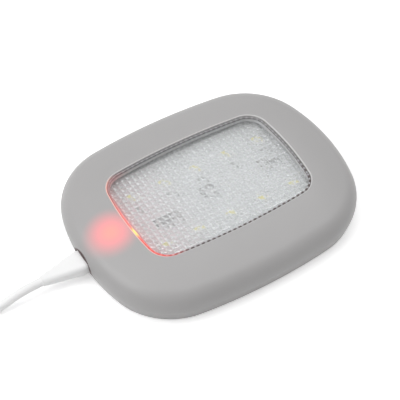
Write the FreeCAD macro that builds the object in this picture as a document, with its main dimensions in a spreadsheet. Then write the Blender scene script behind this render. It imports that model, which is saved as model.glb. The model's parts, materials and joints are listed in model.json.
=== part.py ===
"""Rechargeable car interior light with a magnetic back and its charging cable, in millimetres.

+X runs along the lamp away from its charging port, +Y across it and +Z out through the lens.
The origin is the middle of the flat back, which is what the lamp rests on or clings with.
"""

import FreeCAD
import Part
import Sketcher
import math
import os
import re

from FreeCAD import Placement, Rotation, Vector

# Driving sizes: name, millimetres (degrees or a count where it says so), meaning
SIZES = [
    ("shell_length", 95.0, "length over the ends of the shell"),
    ("shell_width", 74.0, "width over the long sides of the shell"),
    ("shell_height", 14.5, "height of the window's rim over the back"),
    ("shell_long_radius", 195.0, "plan radius of the long sides"),
    ("shell_end_radius", 65.0, "plan radius of the ends"),
    ("shell_corner_radius", 25.0, "plan radius of the corners"),
    ("side_wall", 2.2, "wall of the shell"),
    ("skirt_gap", 0.4, "height of the skirt's lower edge over the back"),
    ("skirt_inset", 1.2, "how far the skirt draws in at its lower edge"),
    ("skirt_rise", 4.6, "height over which the skirt draws in"),
    ("skirt_radius", 5.0, "rounding where the skirt turns upright"),
    ("crown_run", 12.5, "width of the sloping crown in plan"),
    ("crown_drop", 3.4, "fall of the crown from the window to the shoulder"),
    ("crown_radius", 40.0, "rounding from the crown to the flat round the window"),
    ("shoulder_radius", 6.0, "rounding from the crown to the side"),
    ("rim_radius", 0.4, "rounding of the window's upper edge"),
    ("end_border", 16.5, "shell's end to the window"),
    ("side_border", 16.3, "shell's long side to the window"),
    ("window_long_radius", 230.0, "plan radius of the window's long sides"),
    ("window_end_radius", 97.0, "plan radius of the window's ends"),
    ("window_corner_radius", 7.4, "plan radius of the window's corners"),
    ("collar_margin", 1.2, "collar under the crown, past the lens flange"),
    ("skin_thickness", 0.9, "shell left over the charge indicator"),
    ("skin_diameter", 7.0, "thinned spot over the charge indicator"),
    ("rim_depth", 2.2, "rim of the window down to the lens"),
    ("lens_fit", 0.15, "gap between the lens and the window's wall"),
    ("lens_lip", 0.8, "lens above its flange"),
    ("lens_edge_radius", 0.3, "rounding of the lens's upper edge"),
    ("flange_width", 1.6, "flange of the lens past the window"),
    ("flange_fit", 0.3, "gap round the flange's rim"),
    ("flange_thickness", 0.8, "flange of the lens"),
    ("prism_base", 0.1, "lens under the flange before the prisms start"),
    ("prism_border", 0.3, "rim of the flange left plain round the prisms"),
    ("prism_depth", 0.9, "depth of the prisms"),
    ("prism_pitch", 1.9, "spacing of the prisms, both ways"),
    ("leg_length", 4.0, "lens leg along X"),
    ("leg_thickness", 1.3, "lens leg along Y"),
    ("leg_spacing", 40.0, "lens legs, centre to centre along X"),
    ("light_gap", 2.5, "prism tips down to the board"),
    ("board_thickness", 1.0, "circuit board"),
    ("board_gap", 1.5, "end of the board to the shell's inner wall"),
    ("board_margin", 0.3, "board past the lens flange, each side"),
    ("board_corner_radius", 8.0, "plan radius of the board's corners"),
    ("boss_diameter", 4.8, "screw bosses of the shell"),
    ("boss_gap", 1.2, "board's side to the case bosses"),
    ("board_boss_spacing", 26.0, "board screws, across the lamp"),
    ("case_boss_inset", 15.5, "shell's end to the case screws"),
    ("screw_diameter", 1.7, "shank of the screws"),
    ("screw_fit", 0.1, "diameter added to holes that a screw is cut into"),
    ("screw_clearance", 0.4, "diameter added to holes that a screw passes through"),
    ("screw_bite", 3.4, "screw in its boss"),
    ("screw_head_diameter", 3.3, "heads of the screws"),
    ("screw_head_height", 1.1, "heads of the board screws"),
    ("sunk_head_height", 0.9, "countersunk heads of the case screws"),
    ("sunk_depth", 0.1, "case screws below the back"),
    ("cross_width", 0.5, "cross recess of the screws"),
    ("cross_length", 1.8, "cross recess of the screws"),
    ("cover_thickness", 1.6, "back cover"),
    ("cover_fit", 0.2, "gap between the cover and the skirt"),
    ("cover_edge", 0.5, "chamfer round the outer face of the cover"),
    ("rib_height", 1.2, "ribs on the inside of the cover"),
    ("rib_thickness", 1.0, "ribs on the inside of the cover"),
    ("battery_width", 30.0, "lithium pouch cell along Y"),
    ("battery_radius", 1.2, "rounding of the pouch"),
    ("battery_clearance", 0.8, "pouch cell to the board"),
    ("battery_fit", 0.4, "pouch cell to its ribs"),
    ("tape_thickness", 0.4, "foam tape under the pouch cell"),
    ("tape_inset", 4.0, "foam tape inside the pouch cell's outline"),
    ("strip_length", 2.4, "protection strip on the cell's end, along X"),
    ("strip_inset", 2.0, "protection strip inside the cell's width, each side"),
    ("wire_diameter", 1.2, "battery leads"),
    ("wire_spacing", 8.0, "battery leads, centre to centre"),
    ("wire_reach", 2.6, "battery leads, from the strip to where they rise"),
    ("wire_bend", 0.9, "radius of the battery leads' bend"),
    ("magnet_diameter", 12.0, "disc magnets"),
    ("magnet_height", 2.0, "disc magnets"),
    ("magnet_seat", 0.6, "depth of the magnets in the cover"),
    ("magnet_fit", 0.1, "gap round the magnets"),
    ("magnet_inset", 16.5, "shell's end to the middle of a magnet"),
    ("magnet_gap", 5.0, "pouch cell's end to the magnet"),
    ("led_pitch", 12.1, "LEDs along a row"),
    ("led_row_spacing", 22.0, "rows of LEDs"),
    ("led_offset", 1.1, "middle of the LEDs from the middle of the lamp"),
    ("led_length", 3.5, "LED package along X"),
    ("led_width", 2.8, "LED package along Y"),
    ("led_height", 0.8, "LED package"),
    ("phosphor_diameter", 2.2, "well of the LED at its mouth"),
    ("phosphor_floor_diameter", 1.8, "well of the LED at its floor"),
    ("phosphor_depth", 0.5, "well of the LED"),
    ("terminal_length", 0.3, "solder terminal past the package"),
    ("terminal_width", 1.8, "solder terminal"),
    ("terminal_height", 0.3, "solder terminal"),
    ("spring_diameter", 5.0, "touch spring, at the middle of its wire"),
    ("spring_wire", 0.45, "wire of the touch spring"),
    ("spring_turns", 2.5, "turns of the touch spring, a count"),
    ("charger_x", -19.0, "charger chip from the middle of the lamp"),
    ("charger_y", -3.0, "charger chip from the middle of the lamp"),
    ("charger_length", 4.9, "charger chip along its row of leads"),
    ("charger_width", 3.9, "charger chip across"),
    ("touch_x", 25.0, "touch chip from the middle of the lamp"),
    ("touch_y", 0.5, "touch chip from the middle of the lamp"),
    ("touch_length", 2.9, "touch chip along its row of leads"),
    ("touch_width", 1.7, "touch chip across"),
    ("chip_height", 1.4, "chips above the board"),
    ("lead_pitch", 0.95, "chip leads along a row"),
    ("lead_width", 0.4, "chip leads"),
    ("lead_reach", 0.9, "chip leads past the chip"),
    ("lead_thickness", 0.2, "chip leads"),
    ("passive_length", 2.0, "chip resistors and capacitors"),
    ("passive_width", 1.2, "chip resistors and capacitors"),
    ("resistor_height", 0.5, "chip resistors"),
    ("capacitor_height", 1.0, "chip capacitors"),
    ("indicator_inset", 9.0, "shell's end to the charge indicator"),
    ("indicator_y", 1.5, "charge indicator off the long axis"),
    ("indicator_length", 2.0, "charge indicator package"),
    ("indicator_width", 1.25, "charge indicator package"),
    ("indicator_base", 0.4, "charge indicator package"),
    ("indicator_lens", 0.5, "height of the charge indicator's moulded lens"),
    ("indicator_lens_length", 1.2, "charge indicator's moulded lens"),
    ("socket_width", 7.6, "charging socket"),
    ("socket_height", 2.7, "charging socket"),
    ("socket_length", 5.6, "charging socket"),
    ("socket_wall", 0.25, "charging socket's sheet metal"),
    ("socket_radius", 0.6, "charging socket's bends"),
    ("socket_back", 0.9, "plastic at the back of the charging socket"),
    ("tongue_width", 3.7, "tongue of the charging socket"),
    ("tongue_height", 0.6, "tongue of the charging socket"),
    ("tongue_length", 3.2, "tongue of the charging socket"),
    ("contact_pitch", 0.65, "contacts of the charging socket"),
    ("contact_length", 2.9, "contacts of the charging socket"),
    ("contact_width", 0.3, "contacts of the charging socket"),
    ("contact_height", 0.12, "contacts of the charging socket"),
    ("port_fit", 0.3, "gap round the plug in the shell's port"),
    ("plug_length", 4.0, "charging plug's moulded grip, before it tapers"),
    ("taper_length", 12.8, "charging plug's taper down to the cable"),
    ("plug_width", 8.0, "charging plug's moulded grip"),
    ("plug_height", 4.8, "charging plug's moulded grip"),
    ("plug_radius", 1.4, "charging plug's rounded edges"),
    ("plug_shell_width", 6.8, "charging plug's metal shell"),
    ("plug_shell_height", 1.8, "charging plug's metal shell"),
    ("plug_shell_length", 4.2, "charging plug's metal shell"),
    ("plug_shell_wall", 0.25, "charging plug's sheet metal"),
    ("plug_shell_radius", 0.5, "charging plug's bends"),
    ("neck_length", 4.2, "tapered neck behind the supply plug"),
    ("neck_diameter", 5.2, "tapered neck at the supply plug"),
    ("neck_end_diameter", 3.5, "tapered neck at the cable"),
    ("cable_diameter", 3.0, "charging cable"),
    ("coil_radius", 16.5, "coil of cable at the middle of its bundle"),
    ("coil_bundle", 6.2, "coil of cable, across and up"),
    ("coil_bundle_radius", 1.4, "coil of cable, rounding of its bundle"),
    ("tie_width", 4.0, "tie round the coil"),
    ("tie_thickness", 0.4, "tie round the coil"),
    ("tie_fit", 0.25, "gap beside the bundle in its tie"),
    ("coil_lead", 14.0, "straight cable into the coil, and out of it"),
    ("supply_length", 22.0, "supply plug's moulded grip"),
    ("supply_width", 15.6, "supply plug's moulded grip"),
    ("supply_height", 8.0, "supply plug's moulded grip"),
    ("supply_radius", 2.2, "supply plug's rounded edges"),
    ("supply_shell_length", 12.0, "supply plug's metal shell"),
    ("supply_shell_width", 12.0, "supply plug's metal shell"),
    ("supply_shell_height", 4.5, "supply plug's metal shell"),
    ("supply_shell_wall", 0.3, "supply plug's sheet metal"),
    ("supply_shell_radius", 0.6, "supply plug's bends"),
    ("supply_window", 2.2, "square holes in the supply plug's shell"),
    ("supply_window_spacing", 5.6, "square holes, centre to centre"),
    ("supply_window_inset", 4.4, "square holes from the shell's mouth"),
    ("insert_height", 1.9, "contact block in the supply plug"),
    ("insert_inset", 0.6, "contact block behind the shell's mouth"),
    ("insert_radius", 0.3, "rounding under the contact block"),
    ("supply_contact_pitch", 2.2, "contacts of the supply plug"),
    ("supply_contact_width", 1.0, "contacts of the supply plug"),
    ("supply_contact_length", 7.4, "contacts of the supply plug"),
    ("supply_contact_height", 0.15, "contacts of the supply plug"),
]
NAMES = {name for name, _, _ in SIZES}

# Heights worked out from the window's rim down through the lens to the board
LENS_TOP = "(shell_height - rim_depth)"
SEAT = f"({LENS_TOP} - lens_lip)"
FLANGE_BOTTOM = f"({SEAT} - flange_thickness)"
PRISM_TIPS = f"({FLANGE_BOTTOM} - prism_base - prism_depth)"
BOARD_TOP = f"({PRISM_TIPS} - light_gap)"
BOARD_BOTTOM = f"({BOARD_TOP} - board_thickness)"
BATTERY_BOTTOM = "(cover_thickness + tape_thickness)"
BATTERY_HEIGHT = f"({BOARD_BOTTOM} - battery_clearance - {BATTERY_BOTTOM})"
PORT_LEVEL = f"({BOARD_BOTTOM} - socket_height / 2)"
COIL_BOTTOM = "tie_thickness"

# Places in plan, from the middle of the lamp
INNER_END = "(shell_length / 2 - side_wall)"
WINDOW_HALF_LENGTH = "(shell_length / 2 - end_border)"
WINDOW_HALF_WIDTH = "(shell_width / 2 - side_border)"
BOARD_HALF_LENGTH = f"({INNER_END} - board_gap)"
BOARD_HALF_WIDTH = f"({WINDOW_HALF_WIDTH} + flange_width + board_margin)"
BOARD_SCREW_X = f"(({INNER_END} + {WINDOW_HALF_LENGTH} + flange_width + flange_fit) / 2)"
BOARD_SCREW_Y = "(board_boss_spacing / 2)"
CASE_SCREW_X = "(shell_length / 2 - case_boss_inset)"
CASE_SCREW_Y = f"({BOARD_HALF_WIDTH} + boss_gap + boss_diameter / 2)"
INDICATOR_X = "(indicator_inset - shell_length / 2)"
MAGNET_X = "(shell_length / 2 - magnet_inset)"
BATTERY_LENGTH = f"(({MAGNET_X} - magnet_diameter / 2 - magnet_gap) * 2)"
SOCKET_FRONT = f"(-{INNER_END} + port_fit)"
PLUG_FRONT = f"(-{INNER_END} + port_fit / 2)"
PLUG_BACK = f"({PLUG_FRONT} - plug_length)"
NECK_END = f"({PLUG_BACK} - taper_length)"

# Signs of the four corners, going round
CORNERS = [(1, 1), (-1, 1), (-1, -1), (1, -1)]

# The cable's way from the plug's neck to the floor: millimetres along X, and the share of the fall
CABLE_DROP = [(-7.0, 0.0), (-15.5, 1.0), (-23.0, 1.0)]
# The part of a run that a bend of the cable may take at either end
BEND_SHARE = 0.45

doc = FreeCAD.newDocument("CarInteriorLight")
sheet = doc.addObject("Spreadsheet::Sheet", "Sizes")
for row, (name, size, meaning) in enumerate(SIZES, 1):
    sheet.set(f"A{row}", meaning)
    sheet.set(f"B{row}", str(size))
    sheet.setAlias(f"B{row}", name)
doc.recompute()

nodes = []


def bound(text):
    """The expression with each size led by the name of its sheet."""
    return re.sub(r"[a-z_]+", lambda word: word[0] if word[0] not in NAMES else f"Sizes.{word[0]}", text)


def value(text):
    """What an expression of sizes comes to, as a number."""
    return float(sheet.evalExpression(bound(text)))


def bind(thing, expressions):
    """Ties properties of a document object to the sheet."""
    for path, text in expressions.items():
        thing.setExpression(path, bound(text))
    return thing


def place(thing, x, y, z):
    """Ties an object's position to the sheet."""
    return bind(thing, {"Placement.Base.x": x, "Placement.Base.y": y, "Placement.Base.z": z})


def node(thing, label):
    """Marks an object as one finished piece of the lamp."""
    thing.Label = label
    nodes.append(thing)
    return thing


def box(name, length, width, height, x, y, z):
    """A block whose middle is at x, y in plan and whose underside is at z."""
    made = doc.addObject("Part::Box", name)
    bind(made, {"Length": length, "Width": width, "Height": height})
    return place(made, f"{x} - ({length}) / 2", f"{y} - ({width}) / 2", z)


def rod(name, diameter, height, x, y, z):
    """An upright cylinder whose foot is at x, y, z."""
    made = doc.addObject("Part::Cylinder", name)
    bind(made, {"Radius": f"({diameter}) / 2", "Height": height})
    return place(made, x, y, z)


def cone(name, lower, upper, height, x, y, z):
    """An upright cone of two diameters whose foot is at x, y, z."""
    made = doc.addObject("Part::Cone", name)
    bind(made, {"Radius1": f"({lower}) / 2", "Radius2": f"({upper}) / 2", "Height": height})
    return place(made, x, y, z)


def cut(name, base, *tools):
    """The base with each tool taken out of it in turn."""
    for i, tool in enumerate(tools, 1):
        made = doc.addObject("Part::Cut", name if i == len(tools) else f"{name}_less_{tool.Name}")
        made.Base = base
        made.Tool = tool
        base = made
    return base


def fuse(name, *shapes):
    """Several shapes as one solid."""
    made = doc.addObject("Part::MultiFuse", name)
    made.Shapes = list(shapes)
    return made


def common(name, base, tool):
    """What two shapes share."""
    made = doc.addObject("Part::Common", name)
    made.Base = base
    made.Tool = tool
    return made


def group(name, *pieces):
    """Separate solids of one kind, kept together."""
    made = doc.addObject("Part::Compound", name)
    made.Links = list(pieces)
    return made


def body(name):
    return doc.addObject("PartDesign::Body", name)


def sketch(of, name, role="XY_Plane", level="0"):
    """A sketch on one of a body's own planes, level millimetres along the plane's normal."""
    made = of.newObject("Sketcher::SketchObject", name)
    made.AttachmentSupport = [(next(f for f in of.Origin.OriginFeatures if f.Role == role), "")]
    made.MapMode = "FlatFace"
    return bind(made, {"AttachmentOffset.Base.z": level})


def pad(of, profile, length, down=False):
    made = of.newObject("PartDesign::Pad", f"{profile.Name}_pad")
    made.Profile = profile
    made.Reversed = down
    return bind(made, {"Length": length})


def edges(feature, wanted):
    """The names of a feature's edges that pass a test."""
    doc.recompute()
    return [f"Edge{i}" for i, edge in enumerate(feature.Shape.Edges, 1) if wanted(edge)]


def at_level(z):
    """A test for edges that lie at one height."""
    return lambda edge: all(abs(corner.Z - z) < 1e-4 for corner in edge.Vertexes)


def along(axis):
    """A test for straight edges along one axis."""
    return lambda edge: edge.Curve.TypeId == "Part::GeomLine" and abs(edge.tangentAt(0).dot(axis)) > 0.999


def fillet(of, base, wanted, radius):
    """Rounds the edges of a body's feature that pass a test."""
    names = edges(base, wanted)
    made = of.newObject("PartDesign::Fillet", f"{base.Name}_round")
    made.Base = (base, names)
    return bind(made, {"Radius": radius})


def chamfer(of, base, wanted, size, size_up=None):
    """Bevels the edges of a body's feature: size along the flat face and size_up along the upright one."""
    names = edges(base, wanted)
    made = of.newObject("PartDesign::Chamfer", f"{base.Name}_bevel")
    made.Base = (base, names)
    bind(made, {"Size": size})
    if size_up:
        made.ChamferType = "Two distances"
        made.FlipDirection = True
        bind(made, {"Size2": size_up})
    return made


def outline(of, name, level, half_length, half_width, long_radius, end_radius, corner_radius):
    """A closed sketch of eight tangent arcs: two long sides, two ends and four corners."""
    made = sketch(of, name, level=level)
    long_reach = value(f"{long_radius} - {half_width}")
    end_reach = value(f"{end_radius} - {half_length}")
    radii = {"end": value(end_radius), "corner": value(corner_radius), "long": value(long_radius)}

    # The corner's centre is where circles about the two side centres cross
    apart = math.hypot(end_reach, long_reach)
    from_long = radii["long"] - radii["corner"]
    from_end = radii["end"] - radii["corner"]
    along_line = (from_long**2 - from_end**2 + apart**2) / (2 * apart)
    off_line = math.sqrt(from_long**2 - along_line**2)
    corner_x = (-end_reach * along_line + long_reach * off_line) / apart
    corner_y = -long_reach + (long_reach * along_line + end_reach * off_line) / apart
    end_angle = math.atan2(corner_y, corner_x + end_reach)
    long_angle = math.atan2(corner_y + long_reach, corner_x)

    turn = math.pi
    arcs = [
        ("end", -end_reach, 0, -end_angle, end_angle),
        ("corner", corner_x, corner_y, end_angle, long_angle),
        ("long", 0, -long_reach, long_angle, turn - long_angle),
        ("corner", -corner_x, corner_y, turn - long_angle, turn - end_angle),
        ("end", end_reach, 0, turn - end_angle, turn + end_angle),
        ("corner", -corner_x, -corner_y, turn + end_angle, turn + long_angle),
        ("long", 0, long_reach, turn + long_angle, 2 * turn - long_angle),
        ("corner", corner_x, -corner_y, 2 * turn - long_angle, 2 * turn - end_angle),
    ]
    for kind, x, y, first, last in arcs:
        circle = Part.Circle(Vector(x, y, 0), Vector(0, 0, 1), radii[kind])
        made.addGeometry(Part.ArcOfCircle(circle, first, last), False)
    for i in range(len(arcs)):
        made.addConstraint(Sketcher.Constraint("Tangent", i, 2, (i + 1) % len(arcs), 1))
    for i, axis in ((0, -1), (4, -1), (2, -2), (6, -2)):
        made.addConstraint(Sketcher.Constraint("PointOnObject", i, 3, axis))
    for first, *others in ((0, 4), (2, 6), (1, 3, 5, 7)):
        for other in others:
            made.addConstraint(Sketcher.Constraint("Equal", first, other))
    for i, text in ((0, end_radius), (1, corner_radius), (2, long_radius)):
        constrain(made, Sketcher.Constraint("Radius", i, value(text)), text)
    end_text = f"{end_radius} - {half_length}"
    long_text = f"{long_radius} - {half_width}"
    constrain(made, Sketcher.Constraint("DistanceX", 0, 3, -1, 1, end_reach), end_text)
    constrain(made, Sketcher.Constraint("DistanceX", -1, 1, 4, 3, end_reach), end_text)
    constrain(made, Sketcher.Constraint("DistanceY", 2, 3, -1, 1, long_reach), long_text)
    constrain(made, Sketcher.Constraint("DistanceY", -1, 1, 6, 3, long_reach), long_text)
    return made


def constrain(profile, constraint, text):
    """Adds a sketch dimension and ties it to the sheet."""
    index = profile.addConstraint(constraint)
    profile.setExpression(f"Constraints[{index}]", bound(text))


def shell_outline(of, name, level, inset):
    """The lamp's plan, moved inwards."""
    return outline(
        of,
        name,
        level,
        f"(shell_length / 2 - {inset})",
        f"(shell_width / 2 - {inset})",
        f"(shell_long_radius - {inset})",
        f"(shell_end_radius - {inset})",
        f"(shell_corner_radius - {inset})",
    )


def window_outline(of, name, level, growth):
    """The window's plan, moved outwards."""
    return outline(
        of,
        name,
        level,
        f"({WINDOW_HALF_LENGTH} + {growth})",
        f"({WINDOW_HALF_WIDTH} + {growth})",
        f"(window_long_radius + {growth})",
        f"(window_end_radius + {growth})",
        f"(window_corner_radius + {growth})",
    )


def pillow(name, inset, foot):
    """The lamp's crowned form, moved inwards by inset, from the height foot up."""
    made = body(name)
    top = f"(shell_height - {inset})"
    slope = "sqrt(crown_run ^ 2 + crown_drop ^ 2)"
    drop = f"(crown_drop - {inset} * (crown_run + crown_drop - {slope}) / crown_run)"
    run = f"({drop} * crown_run / crown_drop)"
    block = pad(made, shell_outline(made, f"{name}_outline", foot, inset), f"{top} - {foot}")
    crown = chamfer(made, block, at_level(value(top)), run, drop)
    crest = fillet(made, crown, at_level(value(top)), f"crown_radius - {inset}")
    fillet(made, crest, at_level(value(f"{top} - {drop}")), f"shoulder_radius - {inset}")
    return made


def screw_tower(name, x, y, foot):
    """A boss from the height foot up into the crown."""
    return rod(name, "boss_diameter", f"shell_height - {foot}", x, y, foot)


def top_shell():
    """The moulded shell: crowned form, hollow, with a window, a lens collar, bosses and a port."""
    form = pillow("shell_form", "0", "skirt_gap")
    tip = form.Tip
    skirt = chamfer(form, tip, at_level(value("skirt_gap")), "skirt_inset", "skirt_rise")
    fillet(form, skirt, at_level(value("skirt_gap + skirt_rise")), "skirt_radius")
    cavity = pillow("shell_cavity", "side_wall", "0")
    thin_form = pillow("shell_thin_form", "skin_thickness", "0")

    collar = body("shell_collar")
    grown = "(flange_width + flange_fit + collar_margin)"
    plan = window_outline(collar, "collar_outline", SEAT, grown)
    pad(collar, plan, f"shell_height - side_wall / 2 - {SEAT}")
    window = body("shell_window")
    pad(window, window_outline(window, "window_outline", "0", "0"), "shell_height * 2")

    towers = []
    pilots = []
    for i, (right, left) in enumerate(CORNERS, 1):
        for kind, x, y, foot in (
            ("board", BOARD_SCREW_X, BOARD_SCREW_Y, BOARD_TOP),
            ("case", CASE_SCREW_X, CASE_SCREW_Y, "cover_thickness"),
        ):
            spot = f"{right} * {x}", f"{left} * {y}", foot
            towers.append(screw_tower(f"{kind}_boss_{i}", *spot))
            pilot_size = "screw_diameter + screw_fit", "screw_bite + screw_fit"
            pilots.append(rod(f"{kind}_pilot_{i}", *pilot_size, *spot))
    bosses = common("shell_bosses", fuse("shell_towers", *towers), form)
    wall = cut("shell_wall", form, cavity)
    spot = rod("thin_spot", "skin_diameter", "shell_height", INDICATOR_X, "indicator_y", BOARD_TOP)
    port = rounded_bar(
        "shell_port",
        "side_wall * 3",
        "plug_width + port_fit * 2",
        "plug_height + port_fit * 2",
        f"-{INNER_END}",
        PORT_LEVEL,
        "plug_radius + port_fit",
    )
    blank = fuse("shell_blank", wall, collar, bosses)
    opened = cut("shell_opened", blank, window, port, common("thin_pocket", spot, thin_form), *pilots)
    rim = value("shell_height")
    inner_x = value(f"{WINDOW_HALF_LENGTH} + rim_radius")
    inner_y = value(f"{WINDOW_HALF_WIDTH} + rim_radius")

    def on_rim(edge):
        box_of = edge.BoundBox
        inside = max(-box_of.XMin, box_of.XMax) < inner_x and max(-box_of.YMin, box_of.YMax) < inner_y
        return inside and box_of.ZMin > rim - value("rim_depth") / 2

    return node(rounded("top_shell", opened, on_rim, value("rim_radius")), "top_shell")


def rounded(name, base, wanted, radius):
    """A shape with the edges that pass a test rounded."""
    numbers = [int(edge[4:]) for edge in edges(base, wanted)]
    made = doc.addObject("Part::Fillet", name)
    made.Base = base
    made.Edges = [(number, radius, radius) for number in numbers]
    return made


def rounded_bar(name, length, width, height, x, z, radius, end=None):
    """A bar along X, rounded along its length, with its middle at x, 0, z."""
    made = body(name)
    block = made.newObject("PartDesign::AdditiveBox", f"{name}_block")
    bind(block, {"Length": length, "Width": width, "Height": height})
    place(block, f"{x} - ({length}) / 2", f"-({width}) / 2", f"{z} - ({height}) / 2")
    last = fillet(made, block, along(Vector(1, 0, 0)), radius)
    if end:
        side = value(f"{x} - ({length}) / 2")
        fillet(made, last, lambda edge: all(abs(v.X - side) < 1e-4 for v in edge.Vertexes), end)
    return made


def across(name, diameter, length, x, y, z, end_diameter=None):
    """A cylinder, or a cone, that runs from x, y, z towards -X."""
    made = doc.addObject("Part::Cone" if end_diameter else "Part::Cylinder", name)
    if end_diameter:
        bind(made, {"Radius1": f"({diameter}) / 2", "Radius2": f"({end_diameter}) / 2"})
    else:
        bind(made, {"Radius": f"({diameter}) / 2"})
    bind(made, {"Height": length})
    made.Placement = Placement(Vector(), Rotation(Vector(0, 1, 0), -90))
    return place(made, x, y, z)


def lens():
    """The clear lens: flange, raised face, legs, and a field of square prisms on its inner side."""
    made = body("lens")
    pad(made, window_outline(made, "flange_outline", FLANGE_BOTTOM, "flange_width"), "flange_thickness")
    raised = pad(made, window_outline(made, "raised_outline", SEAT, "(0 - lens_fit)"), "lens_lip")
    fillet(made, raised, at_level(value(LENS_TOP)), "lens_edge_radius")
    spare = "prism_base / 2"
    growth = "(flange_width - prism_border)"
    field = window_outline(made, "prism_outline", FLANGE_BOTTOM, growth)
    pad(made, field, f"prism_base + prism_depth + {spare}", down=True)
    for role, axis, reach in (
        ("XZ_Plane", "X_Axis", WINDOW_HALF_LENGTH),
        ("YZ_Plane", "Y_Axis", WINDOW_HALF_WIDTH),
    ):
        grooves(made, role, axis, f"ceil(({reach} + {growth}) * 2 / prism_pitch) + 1", spare)
    for i, (right, left) in enumerate(CORNERS, 1):
        leg = made.newObject("PartDesign::AdditiveBox", f"lens_leg_{i}")
        height = f"{FLANGE_BOTTOM} - {BOARD_TOP}"
        bind(leg, {"Length": "leg_length", "Width": "leg_thickness", "Height": height})
        middle = f"({WINDOW_HALF_WIDTH} + flange_width - leg_thickness / 2)"
        x = f"{right} * leg_spacing / 2 - leg_length / 2"
        place(leg, x, f"{left} * {middle} - leg_thickness / 2", BOARD_TOP)
    return node(made, "lens")


def grooves(of, role, axis, count, spare):
    """A row of V grooves that leaves sharp ridges at the height of the prism tips."""
    profile = sketch(of, f"groove_{axis}", role)
    bottom = f"({PRISM_TIPS} - {spare} * 2)"
    half = f"(prism_pitch / 2 * ({PRISM_TIPS} + prism_depth - {bottom}) / prism_depth)"
    first = f"((1 - {count}) / 2 * prism_pitch)"
    corners = [
        (f"{first} - {half}", bottom),
        (f"{first} + {half}", bottom),
        (first, f"{PRISM_TIPS} + prism_depth"),
    ]
    spots = [Vector(value(x), value(z), 0) for x, z in corners]
    for i, spot in enumerate(spots):
        profile.addGeometry(Part.LineSegment(spot, spots[(i + 1) % len(spots)]), False)
    for i in range(len(spots)):
        profile.addConstraint(Sketcher.Constraint("Coincident", i, 2, (i + 1) % len(spots), 1))
    for i, (x, z) in enumerate(corners):
        constrain(profile, Sketcher.Constraint("DistanceX", i, 1, -1, 1, -value(x)), f"0 - ({x})")
        constrain(profile, Sketcher.Constraint("DistanceY", -1, 1, i, 1, value(z)), z)
    groove = of.newObject("PartDesign::Pocket", f"{profile.Name}_cut")
    groove.Profile = profile
    groove.SideType = "Symmetric"
    bind(groove, {"Length": "shell_length"})
    row = of.newObject("PartDesign::LinearPattern", f"{profile.Name}_row")
    row.Originals = [groove]
    row.Direction = (next(f for f in of.Origin.OriginFeatures if f.Role == axis), [""])
    row.Mode = "Spacing"
    bind(row, {"Offset": "prism_pitch", "Occurrences": count})
    of.Tip = row


def back_cover():
    """The flat back: screw holes, magnet seats with rings round them, and ribs beside the cell."""
    plate = body("cover_plate")
    plan = shell_outline(plate, "cover_outline", "0", "(side_wall + cover_fit)")
    slab = pad(plate, plan, "cover_thickness")
    chamfer(plate, slab, at_level(0), "cover_edge")
    ribs = []
    seats = []
    rib_size = f"{BATTERY_LENGTH} / 2", "rib_thickness", "rib_height"
    for side, name in ((-1, "left"), (1, "right")):
        spot = f"{side} * {MAGNET_X}", "0"
        wide = "magnet_diameter + rib_thickness * 2"
        ribs.append(rod(f"ring_{name}", wide, "rib_height", *spot, "cover_thickness"))
        depth = "rib_height + magnet_seat"
        seat_level = "cover_thickness - magnet_seat"
        seats.append(rod(f"seat_{name}", "magnet_diameter + magnet_fit * 2", depth, *spot, seat_level))
        y = f"{side} * (battery_width / 2 + battery_fit + rib_thickness / 2)"
        ribs.append(box(f"rib_{name}", *rib_size, "0", y, "cover_thickness"))
    for i, (right, left) in enumerate(CORNERS, 1):
        spot = f"{right} * {CASE_SCREW_X}", f"{left} * {CASE_SCREW_Y}"
        hole = "screw_diameter + screw_clearance"
        seats.append(rod(f"cover_hole_{i}", hole, "cover_thickness", *spot, "0"))
        wide = "(screw_head_diameter + screw_fit)"
        narrow = "(screw_diameter + screw_fit)"
        seats.append(cone(f"cover_sink_{i}", wide, narrow, "sunk_head_height", *spot, "sunk_depth"))
        seats.append(rod(f"cover_mouth_{i}", wide, "sunk_depth", *spot, "0"))
    return node(cut("back_cover", fuse("cover_blank", plate, *ribs), *seats), "back_cover")


def magnets():
    for side, name in ((-1, "left"), (1, "right")):
        level = "cover_thickness - magnet_seat"
        disc = rod(f"magnet_{name}", "magnet_diameter", "magnet_height", f"{side} * {MAGNET_X}", "0", level)
        node(disc, f"magnet_{name}")


def cross(name, x, y, z, depth):
    """The cross recess of a screw's head."""
    slots = [
        box(f"{name}_a", "cross_length", "cross_width", depth, x, y, z),
        box(f"{name}_b", "cross_width", "cross_length", depth, x, y, z),
    ]
    return fuse(name, *slots)


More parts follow.
